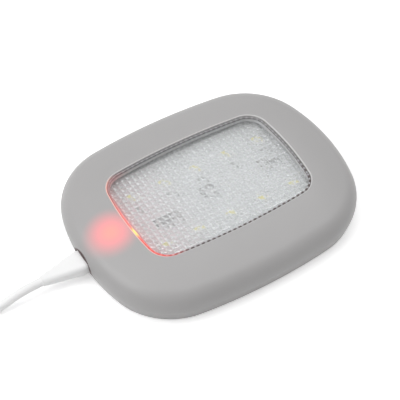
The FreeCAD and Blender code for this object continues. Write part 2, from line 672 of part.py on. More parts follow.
def screws():
    """Four board screws, driven upwards through the board, and four countersunk case screws."""
    board = []
    case = []
    for i, (right, left) in enumerate(CORNERS, 1):
        spot = f"{right} * {BOARD_SCREW_X}", f"{left} * {BOARD_SCREW_Y}"
        level = f"({BOARD_BOTTOM} - screw_head_height)"
        head = rod(f"board_head_{i}", "screw_head_diameter", "screw_head_height", *spot, level)
        shank = rod(f"board_shank_{i}", "screw_diameter", "board_thickness + screw_bite", *spot, BOARD_BOTTOM)
        recess = cross(f"board_cross_{i}", *spot, level, "screw_head_height / 2")
        board.append(cut(f"board_screw_{i}", fuse(f"board_blank_{i}", head, shank), recess))
        spot = f"{right} * {CASE_SCREW_X}", f"{left} * {CASE_SCREW_Y}"
        head = cone(
            f"case_head_{i}", "screw_head_diameter", "screw_diameter", "sunk_head_height", *spot, "sunk_depth"
        )
        length = "cover_thickness + screw_bite - sunk_depth - sunk_head_height"
        shank = rod(f"case_shank_{i}", "screw_diameter", length, *spot, "sunk_depth + sunk_head_height")
        recess = cross(f"case_cross_{i}", *spot, "sunk_depth", "sunk_head_height / 2")
        case.append(cut(f"case_screw_{i}", fuse(f"case_blank_{i}", head, shank), recess))
    node(group("board_screws", *board), "board_screws")
    node(group("case_screws", *case), "case_screws")


def led_board():
    """The circuit board, with rounded ends that follow the shell, and its screw holes."""
    slab = body("board_slab")
    inset = "(side_wall + board_gap)"
    plan = outline(
        slab,
        "board_outline",
        BOARD_BOTTOM,
        BOARD_HALF_LENGTH,
        BOARD_HALF_WIDTH,
        f"(shell_long_radius - {inset})",
        f"(shell_end_radius - {inset})",
        "board_corner_radius",
    )
    pad(slab, plan, "board_thickness")
    holes = [
        rod(
            f"board_hole_{i}",
            "screw_diameter + screw_clearance",
            "board_thickness",
            f"{right} * {BOARD_SCREW_X}",
            f"{left} * {BOARD_SCREW_Y}",
            BOARD_BOTTOM,
        )
        for i, (right, left) in enumerate(CORNERS, 1)
    ]
    return node(cut("led_board", slab, *holes), "led_board")


def leds():
    """Two rows of five white LEDs: package, phosphor in its well, and solder terminals."""
    terminals = []
    for i in range(10):
        x = f"(led_offset + {i % 5 - 2} * led_pitch)"
        y = f"({1 - 2 * (i // 5)} * led_row_spacing / 2)"
        block = box(f"led_block_{i + 1}", "led_length", "led_width", "led_height", x, y, BOARD_TOP)
        floor = f"({BOARD_TOP} + led_height - phosphor_depth)"
        well = "phosphor_floor_diameter", "phosphor_diameter", "phosphor_depth", x, y, floor
        package = cut(f"led_package_{i + 1}", block, cone(f"led_well_{i + 1}", *well))
        node(package, f"led_package_{i + 1}")
        node(cone(f"led_phosphor_{i + 1}", *well), f"led_phosphor_{i + 1}")
        for side in (-1, 1):
            end = f"{x} + {side} * (led_length + terminal_length) / 2"
            size = "terminal_length", "terminal_width", "terminal_height"
            terminals.append(box(f"led_terminal_{i + 1}_{side + 1}", *size, end, y, BOARD_TOP))
    node(group("led_terminals", *terminals), "led_terminals")


def touch_spring():
    """A short coil spring that carries the touch from the lens to the board."""
    rise = value(f"{PRISM_TIPS} - {BOARD_TOP} - spring_wire")
    turns = value("spring_turns")
    radius = value("spring_diameter / 2")
    helix = Part.makeHelix(rise / turns, rise, radius)
    start = Vector(radius, 0, 0)
    heading = Vector(0, 2 * math.pi * radius, rise / turns)
    section = Part.Wire(Part.makeCircle(value("spring_wire / 2"), start, heading))
    made = doc.addObject("Part::Feature", "touch_spring")
    made.Shape = Part.Wire(helix).makePipeShell([section], True, True)
    made.Placement = Placement(Vector(0, 0, value(f"{BOARD_TOP} + spring_wire / 2")), Rotation())
    return node(made, "touch_spring")


def chip(name, x, y, length, width, rows):
    """A small-outline chip with a row of bent leads on each long side."""
    block = body(f"{name}_case")
    solid = block.newObject("PartDesign::AdditiveBox", f"{name}_block")
    raised = f"({BOARD_TOP} + lead_thickness / 2)"
    bind(solid, {"Length": length, "Width": width, "Height": "chip_height - lead_thickness / 2"})
    place(solid, f"{x} - {length} / 2", f"{y} - {width} / 2", raised)
    chamfer(block, solid, at_level(value(f"{BOARD_TOP} + chip_height")), "lead_thickness")
    node(block, name)
    leads = []
    for i in range(rows):
        for side in (-1, 1):
            at = f"{x} + {i - (rows - 1) / 2} * lead_pitch"
            foot_y = f"{y} + {side} * ({width} + lead_reach) / 2"
            rise_y = f"{y} + {side} * ({width} + lead_thickness) / 2"
            label = f"{i}_{side + 1}"
            foot_size = "lead_width", "lead_reach", "lead_thickness"
            foot = box(f"{name}_foot_{label}", *foot_size, at, foot_y, BOARD_TOP)
            rise_size = "lead_width", "lead_thickness", "chip_height / 2"
            riser = box(f"{name}_riser_{label}", *rise_size, at, rise_y, BOARD_TOP)
            leads.append(fuse(f"{name}_lead_{label}", foot, riser))
    node(group(f"{name}_leads", *leads), f"{name}_leads")


def passives():
    """Chip resistors beside the LEDs and chip capacitors beside the two chips."""
    size = "passive_length", "passive_width"
    resistors = [
        box(
            f"resistor_{i + 1}",
            *size,
            "resistor_height",
            f"led_offset + {i - 2} * led_pitch",
            "led_row_spacing / 4",
            BOARD_TOP,
        )
        for i in range(5)
    ]
    beside_charger = "charger_x + (charger_length / 2 + passive_length)"
    beside_touch = "touch_x - (touch_length / 2 + passive_length)"
    spots = [
        (beside_charger, "charger_y + passive_width"),
        (beside_charger, "charger_y - passive_width"),
        (beside_touch, "touch_y + passive_width"),
        (beside_touch, "touch_y - passive_width"),
    ]
    capacitors = [
        box(f"capacitor_{i}", *size, "capacitor_height", x, y, BOARD_TOP) for i, (x, y) in enumerate(spots, 1)
    ]
    node(group("chip_resistors", *resistors), "chip_resistors")
    node(group("chip_capacitors", *capacitors), "chip_capacitors")


def indicator():
    """The red charge indicator, under the shell's thinned spot."""
    spot = INDICATOR_X, "indicator_y"
    package_size = "indicator_length", "indicator_width", "indicator_base"
    package = box("indicator_package", *package_size, *spot, BOARD_TOP)
    level = f"({BOARD_TOP} + indicator_base)"
    lit_size = "indicator_lens_length", "indicator_width", "indicator_lens"
    lit = box("indicator_lens_block", *lit_size, *spot, level)
    node(package, "indicator_package")
    node(lit, "indicator_lens")


def socket():
    """The charging socket under the board's end: folded metal shell, tongue and contacts."""
    middle = f"({SOCKET_FRONT} + socket_length / 2)"
    outside = rounded_bar(
        "socket_outside",
        "socket_length",
        "socket_width",
        "socket_height",
        middle,
        PORT_LEVEL,
        "socket_radius",
    )
    inside = rounded_bar(
        "socket_inside",
        "socket_length",
        "socket_width - socket_wall * 2",
        "socket_height - socket_wall * 2",
        middle,
        PORT_LEVEL,
        "socket_radius - socket_wall",
    )
    node(cut("socket_shell", outside, inside), "socket_shell")
    back = rounded_bar(
        "socket_back_block",
        "socket_back",
        "socket_width - socket_wall * 2",
        "socket_height - socket_wall * 2",
        f"{SOCKET_FRONT} + socket_length - socket_back / 2",
        PORT_LEVEL,
        "socket_radius - socket_wall",
    )
    root = f"({SOCKET_FRONT} + socket_length - socket_back)"
    blade = box(
        "socket_blade",
        "tongue_length",
        "tongue_width",
        "tongue_height",
        f"{root} - tongue_length / 2",
        "0",
        f"{PORT_LEVEL} - tongue_height / 2",
    )
    node(fuse("socket_tongue", back, blade), "socket_tongue")
    strips = [
        box(
            f"socket_strip_{i}",
            "contact_length",
            "contact_width",
            "contact_height",
            f"{root} - contact_length / 2",
            f"{i - 2} * contact_pitch",
            f"{PORT_LEVEL} - tongue_height / 2 - contact_height",
        )
        for i in range(5)
    ]
    node(group("socket_contacts", *strips), "socket_contacts")


def battery():
    """The pouch cell on its foam tape, with the protection strip on its end and two leads."""
    pouch = body("battery_cell")
    block = pouch.newObject("PartDesign::AdditiveBox", "battery_block")
    bind(block, {"Length": BATTERY_LENGTH, "Width": "battery_width", "Height": BATTERY_HEIGHT})
    place(block, f"-{BATTERY_LENGTH} / 2", "-battery_width / 2", BATTERY_BOTTOM)
    fillet(pouch, block, along(Vector(0, 1, 0)), "battery_radius")
    node(pouch, "battery_cell")
    tape_size = f"{BATTERY_LENGTH} - tape_inset * 2", "battery_width - tape_inset * 2", "tape_thickness"
    node(box("battery_tape", *tape_size, "0", "0", "cover_thickness"), "battery_tape")
    strip = box(
        "battery_strip",
        "strip_length",
        "battery_width - strip_inset * 2",
        f"{BATTERY_HEIGHT} - battery_radius * 2",
        f"{BATTERY_LENGTH} / 2 + strip_length / 2",
        "0",
        f"{BATTERY_BOTTOM} + battery_radius",
    )
    node(strip, "battery_strip")
    level = value(f"{BATTERY_BOTTOM} + {BATTERY_HEIGHT} / 2")
    rise = value(BOARD_BOTTOM) - level
    start = value(f"{BATTERY_LENGTH} / 2 + strip_length")
    reach = value("wire_reach")
    for side, name in ((-1, "battery_wire_black"), (1, "battery_wire_red")):
        y = side * value("wire_spacing / 2")
        corner = Vector(start + reach, y, level)
        route = [Vector(start, y, level), corner, corner + Vector(0, 0, rise)]
        made = doc.addObject("Part::Feature", name)
        made.Shape = tube(route, value("wire_diameter"), [value("wire_bend")])
        node(made, name)


def tube(route, diameter, bends):
    """A round tube along straight runs joined by tangent arcs of the given radii."""
    pieces = []
    last = route[0]
    for before, corner, after, radius in zip(route, route[1:], route[2:], bends):
        inwards = (before - corner).normalize()
        outwards = (after - corner).normalize()
        half = inwards.getAngle(outwards) / 2
        reach = radius / math.tan(half)
        middle = (inwards + outwards).normalize()
        centre = corner + middle * (radius / math.sin(half))
        first = corner + inwards * reach
        final = corner + outwards * reach
        if (first - last).Length > 1e-6:
            pieces.append(Part.LineSegment(last, first).toShape())
        pieces.append(Part.Arc(first, centre - middle * radius, final).toShape())
        last = final
    pieces.append(Part.LineSegment(last, route[-1]).toShape())
    spine = Part.Wire(pieces)
    section = Part.Wire(Part.makeCircle(diameter / 2, route[0], route[1] - route[0]))
    made = spine.makePipeShell([section], True, True)
    expected = math.pi * diameter**2 / 4 * spine.Length
    print("tube", round(spine.Length, 2), "long, volume", round(made.Volume / expected, 4), "of the expected")
    return made


def section(x, z, width, height, radius):
    """A rounded rectangle across X, as a closed wire."""
    arcs = []
    for turn, (side, lift) in enumerate(CORNERS):
        centre = Vector(x, side * (width / 2 - radius), z + lift * (height / 2 - radius))
        angles = [math.pi / 2 * turn + share * math.pi / 4 for share in range(3)]
        spots = [centre + Vector(0, math.cos(angle), math.sin(angle)) * radius for angle in angles]
        arcs.append(Part.Arc(*spots).toShape())
    pieces = []
    for i, arc in enumerate(arcs):
        following = arcs[(i + 1) % len(arcs)]
        pieces += [arc, Part.LineSegment(arc.Vertexes[-1].Point, following.Vertexes[0].Point).toShape()]
    return Part.Wire(pieces)


def charging_plug():
    """The plug at the lamp's end of the cable: moulded grip that tapers down to the cable, and metal shell."""
    grip = rounded_bar(
        "plug_block",
        "plug_length",
        "plug_width",
        "plug_height",
        f"({PLUG_FRONT} - plug_length / 2)",
        PORT_LEVEL,
        "plug_radius",
    )
    level = value(PORT_LEVEL)
    wide = section(value(PLUG_BACK), level, value("plug_width"), value("plug_height"), value("plug_radius"))
    thin = value("neck_end_diameter")
    narrow = section(value(NECK_END), level, thin, thin, value("plug_radius"))
    taper = doc.addObject("Part::Feature", "plug_taper")
    taper.Shape = Part.makeLoft([wide, narrow], True, True)
    node(fuse("plug_grip", grip, taper), "plug_grip")
    centre = f"({PLUG_FRONT} + plug_shell_length / 2)"
    outside = rounded_bar(
        "plug_shell_outside",
        "plug_shell_length",
        "plug_shell_width",
        "plug_shell_height",
        centre,
        PORT_LEVEL,
        "plug_shell_radius",
    )
    inside = rounded_bar(
        "plug_shell_inside",
        "plug_shell_length",
        "plug_shell_width - plug_shell_wall * 2",
        "plug_shell_height - plug_shell_wall * 2",
        centre,
        PORT_LEVEL,
        "plug_shell_radius - plug_shell_wall",
    )
    node(cut("plug_shell", outside, inside), "plug_shell")


def cable():
    """The stretch of cable from the plug down to the floor, its coil with a lead in and out, and the tie."""
    start = value(NECK_END)
    high = value(PORT_LEVEL)
    low = value(f"{COIL_BOTTOM} + cable_diameter / 2")
    route = [Vector(start, 0, high)]
    route += [Vector(start + along_x, 0, high + (low - high) * share) for along_x, share in CABLE_DROP]
    bends = []
    for before, corner, after in zip(route, route[1:], route[2:]):
        turn = math.pi - (before - corner).getAngle(after - corner)
        run = min((corner - before).Length, (after - corner).Length)
        bends.append(BEND_SHARE * run / math.tan(turn / 2))
    made = doc.addObject("Part::Feature", "cable")
    made.Shape = tube(route, value("cable_diameter"), bends)
    node(made, "cable")

    # The outer turns of the coil lie in line with the plug
    end = route[-1].x
    centre_x = f"({end} - coil_lead)"
    outer_turn = "(coil_radius + (coil_bundle - cable_diameter) / 2)"
    ring = body("coil_ring")
    section = sketch(ring, "coil_section", "XZ_Plane")
    top = f"({COIL_BOTTOM} + coil_bundle)"
    near = "coil_radius - coil_bundle / 2"
    wide = "coil_radius + coil_bundle / 2"
    frame = [(near, COIL_BOTTOM), (wide, COIL_BOTTOM), (wide, top), (near, top)]
    spots = [Vector(value(x), value(z), 0) for x, z in frame]
    for i, spot in enumerate(spots):
        section.addGeometry(Part.LineSegment(spot, spots[(i + 1) % 4]), False)
    for i in range(4):
        section.addConstraint(Sketcher.Constraint("Coincident", i, 2, (i + 1) % 4, 1))
    for i, (x, z) in enumerate(frame):
        constrain(section, Sketcher.Constraint("DistanceX", -1, 1, i, 1, value(x)), x)
        constrain(section, Sketcher.Constraint("DistanceY", -1, 1, i, 1, value(z)), z)
    turned = ring.newObject("PartDesign::Revolution", "coil_turned")
    turned.Profile = section
    turned.ReferenceAxis = (section, ["V_Axis"])
    turned.Angle = 360
    fillet(ring, turned, lambda edge: True, "coil_bundle_radius")
    place(ring, centre_x, outer_turn, "0")
    in_level = f"{COIL_BOTTOM} + cable_diameter / 2"
    lead_in = across("coil_lead_in", "cable_diameter", "coil_lead", f"{end}", "0", in_level)
    out_level = f"({COIL_BOTTOM} + coil_bundle - cable_diameter / 2)"
    lead_out = across("coil_lead_out", "cable_diameter", "coil_lead", centre_x, "0", out_level)
    node(fuse("cable_coil", ring, lead_in, lead_out), "cable_coil")

    # The tie goes round the bundle on the far side of the coil
    far = f"({outer_turn} + coil_radius)"
    band_size = "tie_width", "coil_bundle + (tie_fit + tie_thickness) * 2", "coil_bundle + tie_thickness * 2"
    band = box("tie_band", *band_size, centre_x, far, f"{COIL_BOTTOM} - tie_thickness")
    hole_size = "tie_width", "coil_bundle + tie_fit * 2", "coil_bundle"
    hole = box("tie_hole", *hole_size, centre_x, far, COIL_BOTTOM)
    node(cut("cable_tie", band, hole), "cable_tie")
    supply_plug(f"({centre_x} - coil_lead)", out_level)


def supply_plug(start, level):
    """The plug at the far end of the cable, lying on the floor: grip, shell, contact block and contacts."""
    neck = across("supply_neck", "neck_end_diameter", "neck_length", start, "0", level, "neck_diameter")
    back = f"({start} - neck_length)"
    middle = f"({back} - supply_length / 2)"
    height = "(supply_height / 2)"
    grip = rounded_bar(
        "supply_block",
        "supply_length",
        "supply_width",
        "supply_height",
        middle,
        height,
        "supply_radius",
        "supply_radius / 2",
    )
    node(fuse("supply_grip", grip, neck), "supply_grip")
    front = f"({back} - supply_length)"
    centre = f"({front} - supply_shell_length / 2)"
    outside = rounded_bar(
        "supply_outside",
        "supply_shell_length",
        "supply_shell_width",
        "supply_shell_height",
        centre,
        height,
        "supply_shell_radius",
    )
    inner_width = "(supply_shell_width - supply_shell_wall * 2)"
    inner_height = "(supply_shell_height - supply_shell_wall * 2)"
    inside = rounded_bar(
        "supply_inside",
        "supply_shell_length",
        inner_width,
        inner_height,
        centre,
        height,
        "supply_shell_radius - supply_shell_wall",
    )
    mouth = f"({front} - supply_shell_length)"
    holes = [
        box(
            f"supply_hole_{side + 1}",
            "supply_window",
            "supply_window",
            "supply_height",
            f"{mouth} + supply_window_inset",
            f"{side} * supply_window_spacing / 2",
            "0",
        )
        for side in (-1, 1)
    ]
    node(cut("supply_shell", outside, inside, *holes), "supply_shell")
    long = "(supply_shell_length - insert_inset)"
    floor = f"({height} - {inner_height} / 2)"
    spot = f"{front} - {long} / 2", "0", floor
    block = box("supply_insert_block", long, inner_width, "insert_height", *spot)
    radius = value("insert_radius")
    rounds = rounded("supply_insert", block, lambda edge: lower_edge(edge, value(floor)), radius)
    node(rounds, "supply_insert")
    strips = [
        box(
            f"supply_strip_{i}",
            "supply_contact_length",
            "supply_contact_width",
            "supply_contact_height",
            f"{front} - {long} + supply_contact_length / 2 + insert_inset",
            f"{i - 1.5} * supply_contact_pitch",
            f"{floor} + insert_height",
        )
        for i in range(4)
    ]
    node(group("supply_contacts", *strips), "supply_contacts")


def lower_edge(edge, level):
    """Whether an edge runs along X at one height."""
    return along(Vector(1, 0, 0))(edge) and at_level(level)(edge)


top_shell()
lens()
back_cover()
magnets()
screws()
led_board()
leds()
touch_spring()
chip("charger_chip", "charger_x", "charger_y", "charger_length", "charger_width", 4)
chip("touch_chip", "touch_x", "touch_y", "touch_length", "touch_width", 3)
passives()
indicator()
socket()
battery()
charging_plug()
cable()

doc.recompute()
failed = [thing.Name for thing in doc.Objects if {"Invalid", "Error"} & set(thing.State)]
if failed:
    raise RuntimeError(f"failed: {failed}")
os.makedirs("parts", exist_ok=True)
for piece in nodes:
    shape = piece.Shape
    if shape.isNull() or not shape.isValid():
        raise RuntimeError(f"{piece.Label} has no valid shape")
    print(piece.Label, len(shape.Solids), round(shape.Volume, 2), shape.BoundBox)
    shape.exportStep(f"parts/{piece.Label}.step")
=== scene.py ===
"""Car interior light: a grey pillow-shaped touch lamp on a white table, charging through a white cable.

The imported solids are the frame. The shell, the plugs' grips, the cable and its tie are made again here as
smooth surfaces, the bead round the lens is added, and every piece gets its finish. Lengths are in metres.
"""
import json
import math

import bmesh
import bpy
import numpy as np
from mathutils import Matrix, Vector


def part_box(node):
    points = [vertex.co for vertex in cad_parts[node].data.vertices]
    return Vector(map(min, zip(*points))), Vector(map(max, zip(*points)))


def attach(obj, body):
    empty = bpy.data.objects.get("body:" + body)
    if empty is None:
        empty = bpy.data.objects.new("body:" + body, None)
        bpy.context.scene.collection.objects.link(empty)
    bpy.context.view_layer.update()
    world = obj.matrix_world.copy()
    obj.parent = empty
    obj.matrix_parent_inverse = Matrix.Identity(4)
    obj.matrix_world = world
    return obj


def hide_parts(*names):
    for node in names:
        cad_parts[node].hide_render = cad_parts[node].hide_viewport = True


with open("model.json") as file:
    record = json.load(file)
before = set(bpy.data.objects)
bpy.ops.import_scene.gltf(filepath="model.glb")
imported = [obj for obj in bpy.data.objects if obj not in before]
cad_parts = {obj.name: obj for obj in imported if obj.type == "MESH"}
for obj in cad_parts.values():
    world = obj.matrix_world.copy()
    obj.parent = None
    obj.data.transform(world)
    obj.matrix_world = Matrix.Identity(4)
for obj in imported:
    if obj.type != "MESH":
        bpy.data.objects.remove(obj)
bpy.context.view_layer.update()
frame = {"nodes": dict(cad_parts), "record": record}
NODES = frame["nodes"]
SLOT_OF = {part["node"]: part["material_slot"] for part in frame["record"]["subparts"]}

MM = 0.001

# Sizes of the shell that its box doesn't give
SHELL_LONG_RADIUS = 195 * MM
SHELL_END_RADIUS = 65 * MM
SHELL_CORNER_RADIUS = 25 * MM
WINDOW_LONG_RADIUS = 230 * MM
WINDOW_END_RADIUS = 97 * MM
WINDOW_CORNER_RADIUS = 7.4 * MM
CROWN_TOP = 14.5 * MM
CROWN_RUN = 12.5 * MM
CROWN_DROP = 3.4 * MM
CROWN_RADIUS = 40 * MM
SHOULDER_RADIUS = 6 * MM
SKIRT_INSET = 1.2 * MM
SKIRT_RISE = 4.6 * MM
SKIRT_RADIUS = 5 * MM
SIDE_WALL = 2.2 * MM
RIM_RADIUS = 0.4 * MM
END_BORDER = 16.5 * MM
SIDE_BORDER = 16.3 * MM
COLLAR = 3.1 * MM
LENS_LIP = 0.8 * MM
PORT_FIT = 0.3 * MM
BEAD_GAP = 0.12 * MM
BEAD_WIDTH = 0.7 * MM
BEAD_TOP = 14.05 * MM
BEAD_ROUND = 0.2 * MM
BEAD_SUNK = 0.1 * MM
BEAD_PITCH = 1.9 * MM
WELD = 1e-7
SHELL_CREASE = 32
PIECE_CREASE = 40
SOLID_CREASE = 30

SHELL_LOW, SHELL_HIGH = (Vector(corner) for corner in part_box("top_shell"))
LENS_HIGH = Vector(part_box("lens")[1])
PLUG_LOW, PLUG_HIGH = (Vector(corner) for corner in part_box("plug_grip"))
COIL_LOW, COIL_HIGH = (Vector(corner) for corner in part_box("cable_coil"))
TIE_LOW, TIE_HIGH = (Vector(corner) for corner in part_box("cable_tie"))
SUPPLY_LOW, SUPPLY_HIGH = (Vector(corner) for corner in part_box("supply_grip"))
INDICATOR_LOW, INDICATOR_HIGH = (Vector(corner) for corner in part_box("indicator_package"))

SEAT = LENS_HIGH.z - LENS_LIP
PORT_LEVEL = (PLUG_LOW.z + PLUG_HIGH.z) / 2
INDICATOR = (INDICATOR_LOW + INDICATOR_HIGH) / 2
WINDOW_HALF_LENGTH = SHELL_HIGH.x - END_BORDER
WINDOW_HALF_WIDTH = SHELL_HIGH.y - SIDE_BORDER

CABLE_DIAMETER = 3 * MM
NECK_LENGTH = 4.2 * MM
NECK_DIAMETER = 5.2 * MM
NECK_END_DIAMETER = 3.5 * MM
LEAD_STRAIGHT = 7 * MM
LEAD_DOWN = 15.5 * MM
LEAD_FLAT = 23 * MM
LAST_LEAD = 6.5 * MM
TURN_POINTS = 16
RAMP_POINTS = 4
TIE_THICKNESS = 0.4 * MM
TIE_RADIUS = 1.4 * MM
SUPPLY_ROUND = 1.1 * MM
SUPPLY_RADIUS = 2.2 * MM
PLUG_STRAIGHT = 4 * MM
PLUG_NOSE = 0.3 * MM
PLUG_RADIUS = 1.4 * MM


def grid_mesh(name, points, closed_rows, closed_columns):
    """A mesh of quads over a grid of points, joined up at either seam where it is closed."""
    rows, columns = points.shape[:2]
    index = np.arange(rows * columns).reshape(rows, columns)
    if closed_rows:
        index = np.vstack([index, index[:1]])
    if closed_columns:
        index = np.hstack([index, index[:, :1]])
    corners = [index[:-1, :-1], index[:-1, 1:], index[1:, 1:], index[1:, :-1]]
    quads = np.stack(corners, axis=-1).reshape(-1, 4)
    mesh = bpy.data.meshes.new(name)
    mesh.from_pydata(points.reshape(-1, 3).tolist(), [], quads.tolist())
    return mesh


def smoothed(mesh, crease):
    """The mesh shaded smooth, with edges sharper than crease degrees kept sharp."""
    mesh.shade_smooth()
    mesh.set_sharp_from_angle(angle=math.radians(crease))
    return mesh


def finished(mesh, crease):
    """The mesh merged and smoothed, with its faces turned outwards and its open ends closed."""
    work = bmesh.new()
    work.from_mesh(mesh)
    bmesh.ops.remove_doubles(work, verts=work.verts, dist=WELD)
    bmesh.ops.holes_fill(work, edges=work.edges, sides=0)
    bmesh.ops.recalc_face_normals(work, faces=work.faces)
    work.to_mesh(mesh)
    work.free()
    return smoothed(mesh, crease)


def piece_of(name, mesh, slot, *nodes):
    """A piece of the lamp with its mesh, in place of these solids where there are any."""
    piece = bpy.data.objects.new(name, mesh)
    bpy.context.scene.collection.objects.link(piece)
    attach(piece, "root")
    if nodes:
        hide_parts(*nodes)
    mesh.materials.append(FINISHES[slot])
    return piece


# The shell


END_STEPS = 24
CORNER_STEPS = 24
SIDE_STEPS = 32


def oval(half_length, half_width, long_radius, end_radius, corner_radius):
    """The arcs of an outline of the lamp: centre, radius and angle of the normal at each step round it.

    Each quarter has half an end arc, a corner arc and half a side arc, which meet on common normals. A
    corner's centre is where two circles cross: one round the end arc's centre, of the end radius less the
    corner radius, and one round the side arc's centre, of the side radius less the corner radius.
    """
    end = np.array([half_length - end_radius, 0.0])
    side = np.array([0.0, half_width - long_radius])
    reach_end = end_radius - corner_radius
    reach_side = long_radius - corner_radius
    apart = math.dist(end, side)
    forward = (end - side) / apart
    along = (reach_side**2 - reach_end**2 + apart**2) / (2 * apart)
    away = math.sqrt(reach_side**2 - along**2)
    corner = side + along * forward + away * np.array([forward[1], -forward[0]])
    first = math.atan2(corner[1] - end[1], corner[0] - end[0])
    second = math.atan2(corner[1] - side[1], corner[0] - side[0])
    turns = [-first, first, second, math.pi - second, math.pi - first]
    turns += [math.pi + first, math.pi + second, 2 * math.pi - second, 2 * math.pi - first]
    steps = [END_STEPS, CORNER_STEPS, SIDE_STEPS, CORNER_STEPS] * 2
    pairs = zip(turns, turns[1:], steps)
    angles = np.concatenate([np.linspace(*pair, endpoint=False) for pair in pairs])
    signs = [(1, 1), (1, 1), (1, 1), (-1, 1), (-1, -1), (-1, -1), (-1, -1), (1, -1)]
    kinds = [end, corner, side, corner] * 2
    centres = np.repeat(np.array(kinds) * np.array(signs), steps, axis=0)
    radii = np.repeat([end_radius, corner_radius, long_radius, corner_radius] * 2, steps)
    return centres, radii, angles


def window_outline():
    """The arcs of the window."""
    return oval(
        WINDOW_HALF_LENGTH, WINDOW_HALF_WIDTH, WINDOW_LONG_RADIUS, WINDOW_END_RADIUS, WINDOW_CORNER_RADIUS
    )


def moved_in(arcs, inset):
    """Points on the outline, moved in by each inset: centre + (radius - inset) (cos angle, sin angle)."""
    centres, radii, angles = arcs
    reach = radii - np.asarray(inset)[..., None]
    normals = np.stack([np.cos(angles), np.sin(angles)], axis=-1)
    return centres + reach[..., None] * normals


def depth_inside(arcs, points):
    """How far points lie inside an outline: the radius less the distance to the centre of the nearest arc.

    The nearest arc is that of the outline's step that lies nearest to the point.
    """
    centres, radii, angles = arcs
    normals = np.stack([np.cos(angles), np.sin(angles)], axis=-1)
    rims = centres + radii[:, None] * normals
    gaps = np.linalg.norm(points[..., None, :] - rims, axis=-1)
    nearest = gaps.argmin(axis=-1)
    return radii[nearest] - np.linalg.norm(points - centres[nearest], axis=-1)


def crown_height(depth):
    """Height of the crown at a depth inside the outline: a slope, then an arc that levels off inwards."""
    slope = CROWN_DROP / CROWN_RUN
    reach = CROWN_RADIUS * math.tan(math.atan(slope) / 2)
    flat = CROWN_RUN + reach
    level = np.minimum(depth, flat)
    arc = CROWN_TOP - CROWN_RADIUS + np.sqrt(CROWN_RADIUS**2 - (flat - level) ** 2)
    line = CROWN_TOP - (CROWN_RUN - depth) * slope
    return np.where(depth < CROWN_RUN - reach * math.cos(math.atan(slope)), line, arc)


def at_heights(flat_points, heights):
    """Points of the plan with their heights."""
    heights = np.broadcast_to(heights, flat_points.shape[:-1])
    return np.concatenate([flat_points, heights[..., None]], axis=-1)


def shell_mesh():
    """The shell as one closed grid: a profile carried round the outline along its normals.

    From the skirt's foot the profile rises by the taper, the turn to upright, the shoulder's arc and the
    crown, which is drawn from the shoulder's inset outline to the window's by straight shares. It goes over
    the window's rounded rim, down its wall, under the collar, and back inside a wall's thickness away. Each
    point is marked where it is on the rim, in the recess or on the inside.
    """
    outside = oval(SHELL_HIGH.x, SHELL_HIGH.y, SHELL_LONG_RADIUS, SHELL_END_RADIUS, SHELL_CORNER_RADIUS)
    window = window_outline()
    foot = SHELL_LOW.z
    slope = CROWN_DROP / CROWN_RUN
    tilt = math.atan(slope)
    lean = math.atan2(SKIRT_INSET, SKIRT_RISE)
    turn = np.linspace(lean, 0, 5)
    skirt_in = np.append(SKIRT_INSET, SKIRT_RADIUS * (1 - np.cos(turn)))
    bend = foot + SKIRT_RISE + SKIRT_RADIUS * math.tan(lean / 2)
    skirt_up = np.append(foot, bend - SKIRT_RADIUS * np.sin(turn))

    roll = np.linspace(0, math.pi / 2 - tilt, 14)
    hub = CROWN_TOP - CROWN_DROP + slope * SHOULDER_RADIUS - SHOULDER_RADIUS / math.cos(tilt)
    shoulder_in = SHOULDER_RADIUS * (1 - np.cos(roll))
    shoulder_up = hub + SHOULDER_RADIUS * np.sin(roll)

    share = np.linspace(0, 1, 18)[1:, None, None]
    crest = moved_in(outside, shoulder_in[-1])
    brink = moved_in(window, -RIM_RADIUS)
    crown_flat = crest * (1 - share) + brink * share
    crown = at_heights(crown_flat, crown_height(depth_inside(outside, crown_flat)))
    edge = crown[-1, :, 2]

    over = np.linspace(0, math.pi / 2, 7)[1:]
    rim_flat = moved_in(window, RIM_RADIUS * (np.sin(over) - 1))
    rim = at_heights(rim_flat, edge - RIM_RADIUS * (1 - np.cos(over))[:, None])
    fall = np.linspace(0, 1, 5)[1:, None]
    wall_flat = np.broadcast_to(moved_in(window, 0.0), (4, len(edge), 2))
    wall = at_heights(wall_flat, (edge - RIM_RADIUS) * (1 - fall) + SEAT * fall)

    under = at_heights(moved_in(window, -COLLAR), SEAT)
    inner_roll = roll[::-1]
    inner_in = SHOULDER_RADIUS - (SHOULDER_RADIUS - SIDE_WALL) * np.cos(inner_roll)
    inner_up = hub + (SHOULDER_RADIUS - SIDE_WALL) * np.sin(inner_roll)
    near = share[:-1]
    vault_flat = moved_in(window, -COLLAR) * (1 - near) + moved_in(outside, inner_in[0]) * near
    thickness = SIDE_WALL / math.cos(tilt)
    vault = at_heights(vault_flat, crown_height(depth_inside(outside, vault_flat)) - thickness)
    root = at_heights(moved_in(window, -COLLAR), vault[0, :, 2])

    rows = [
        at_heights(moved_in(outside, skirt_in), skirt_up[:, None]),
        at_heights(moved_in(outside, shoulder_in), shoulder_up[:, None]),
        crown,
        rim,
        wall,
        under[None],
        root[None],
        vault,
        at_heights(moved_in(outside, inner_in), inner_up[:, None]),
        at_heights(moved_in(outside, np.array([SIDE_WALL])), foot),
    ]
    mesh = grid_mesh("shell", np.concatenate(rows), True, True)
    counts = [len(part) * len(edge) for part in rows]
    for label, zones in (("rim", (3, 4)), ("recess", (3, 5)), ("inside", (5, 10))):
        marks = np.repeat([float(zones[0] <= i < zones[1]) for i in range(len(rows))], counts)
        mesh.attributes.new(label, "FLOAT", "POINT").data.foreach_set("value", marks)
    return finished(mesh, SHELL_CREASE)


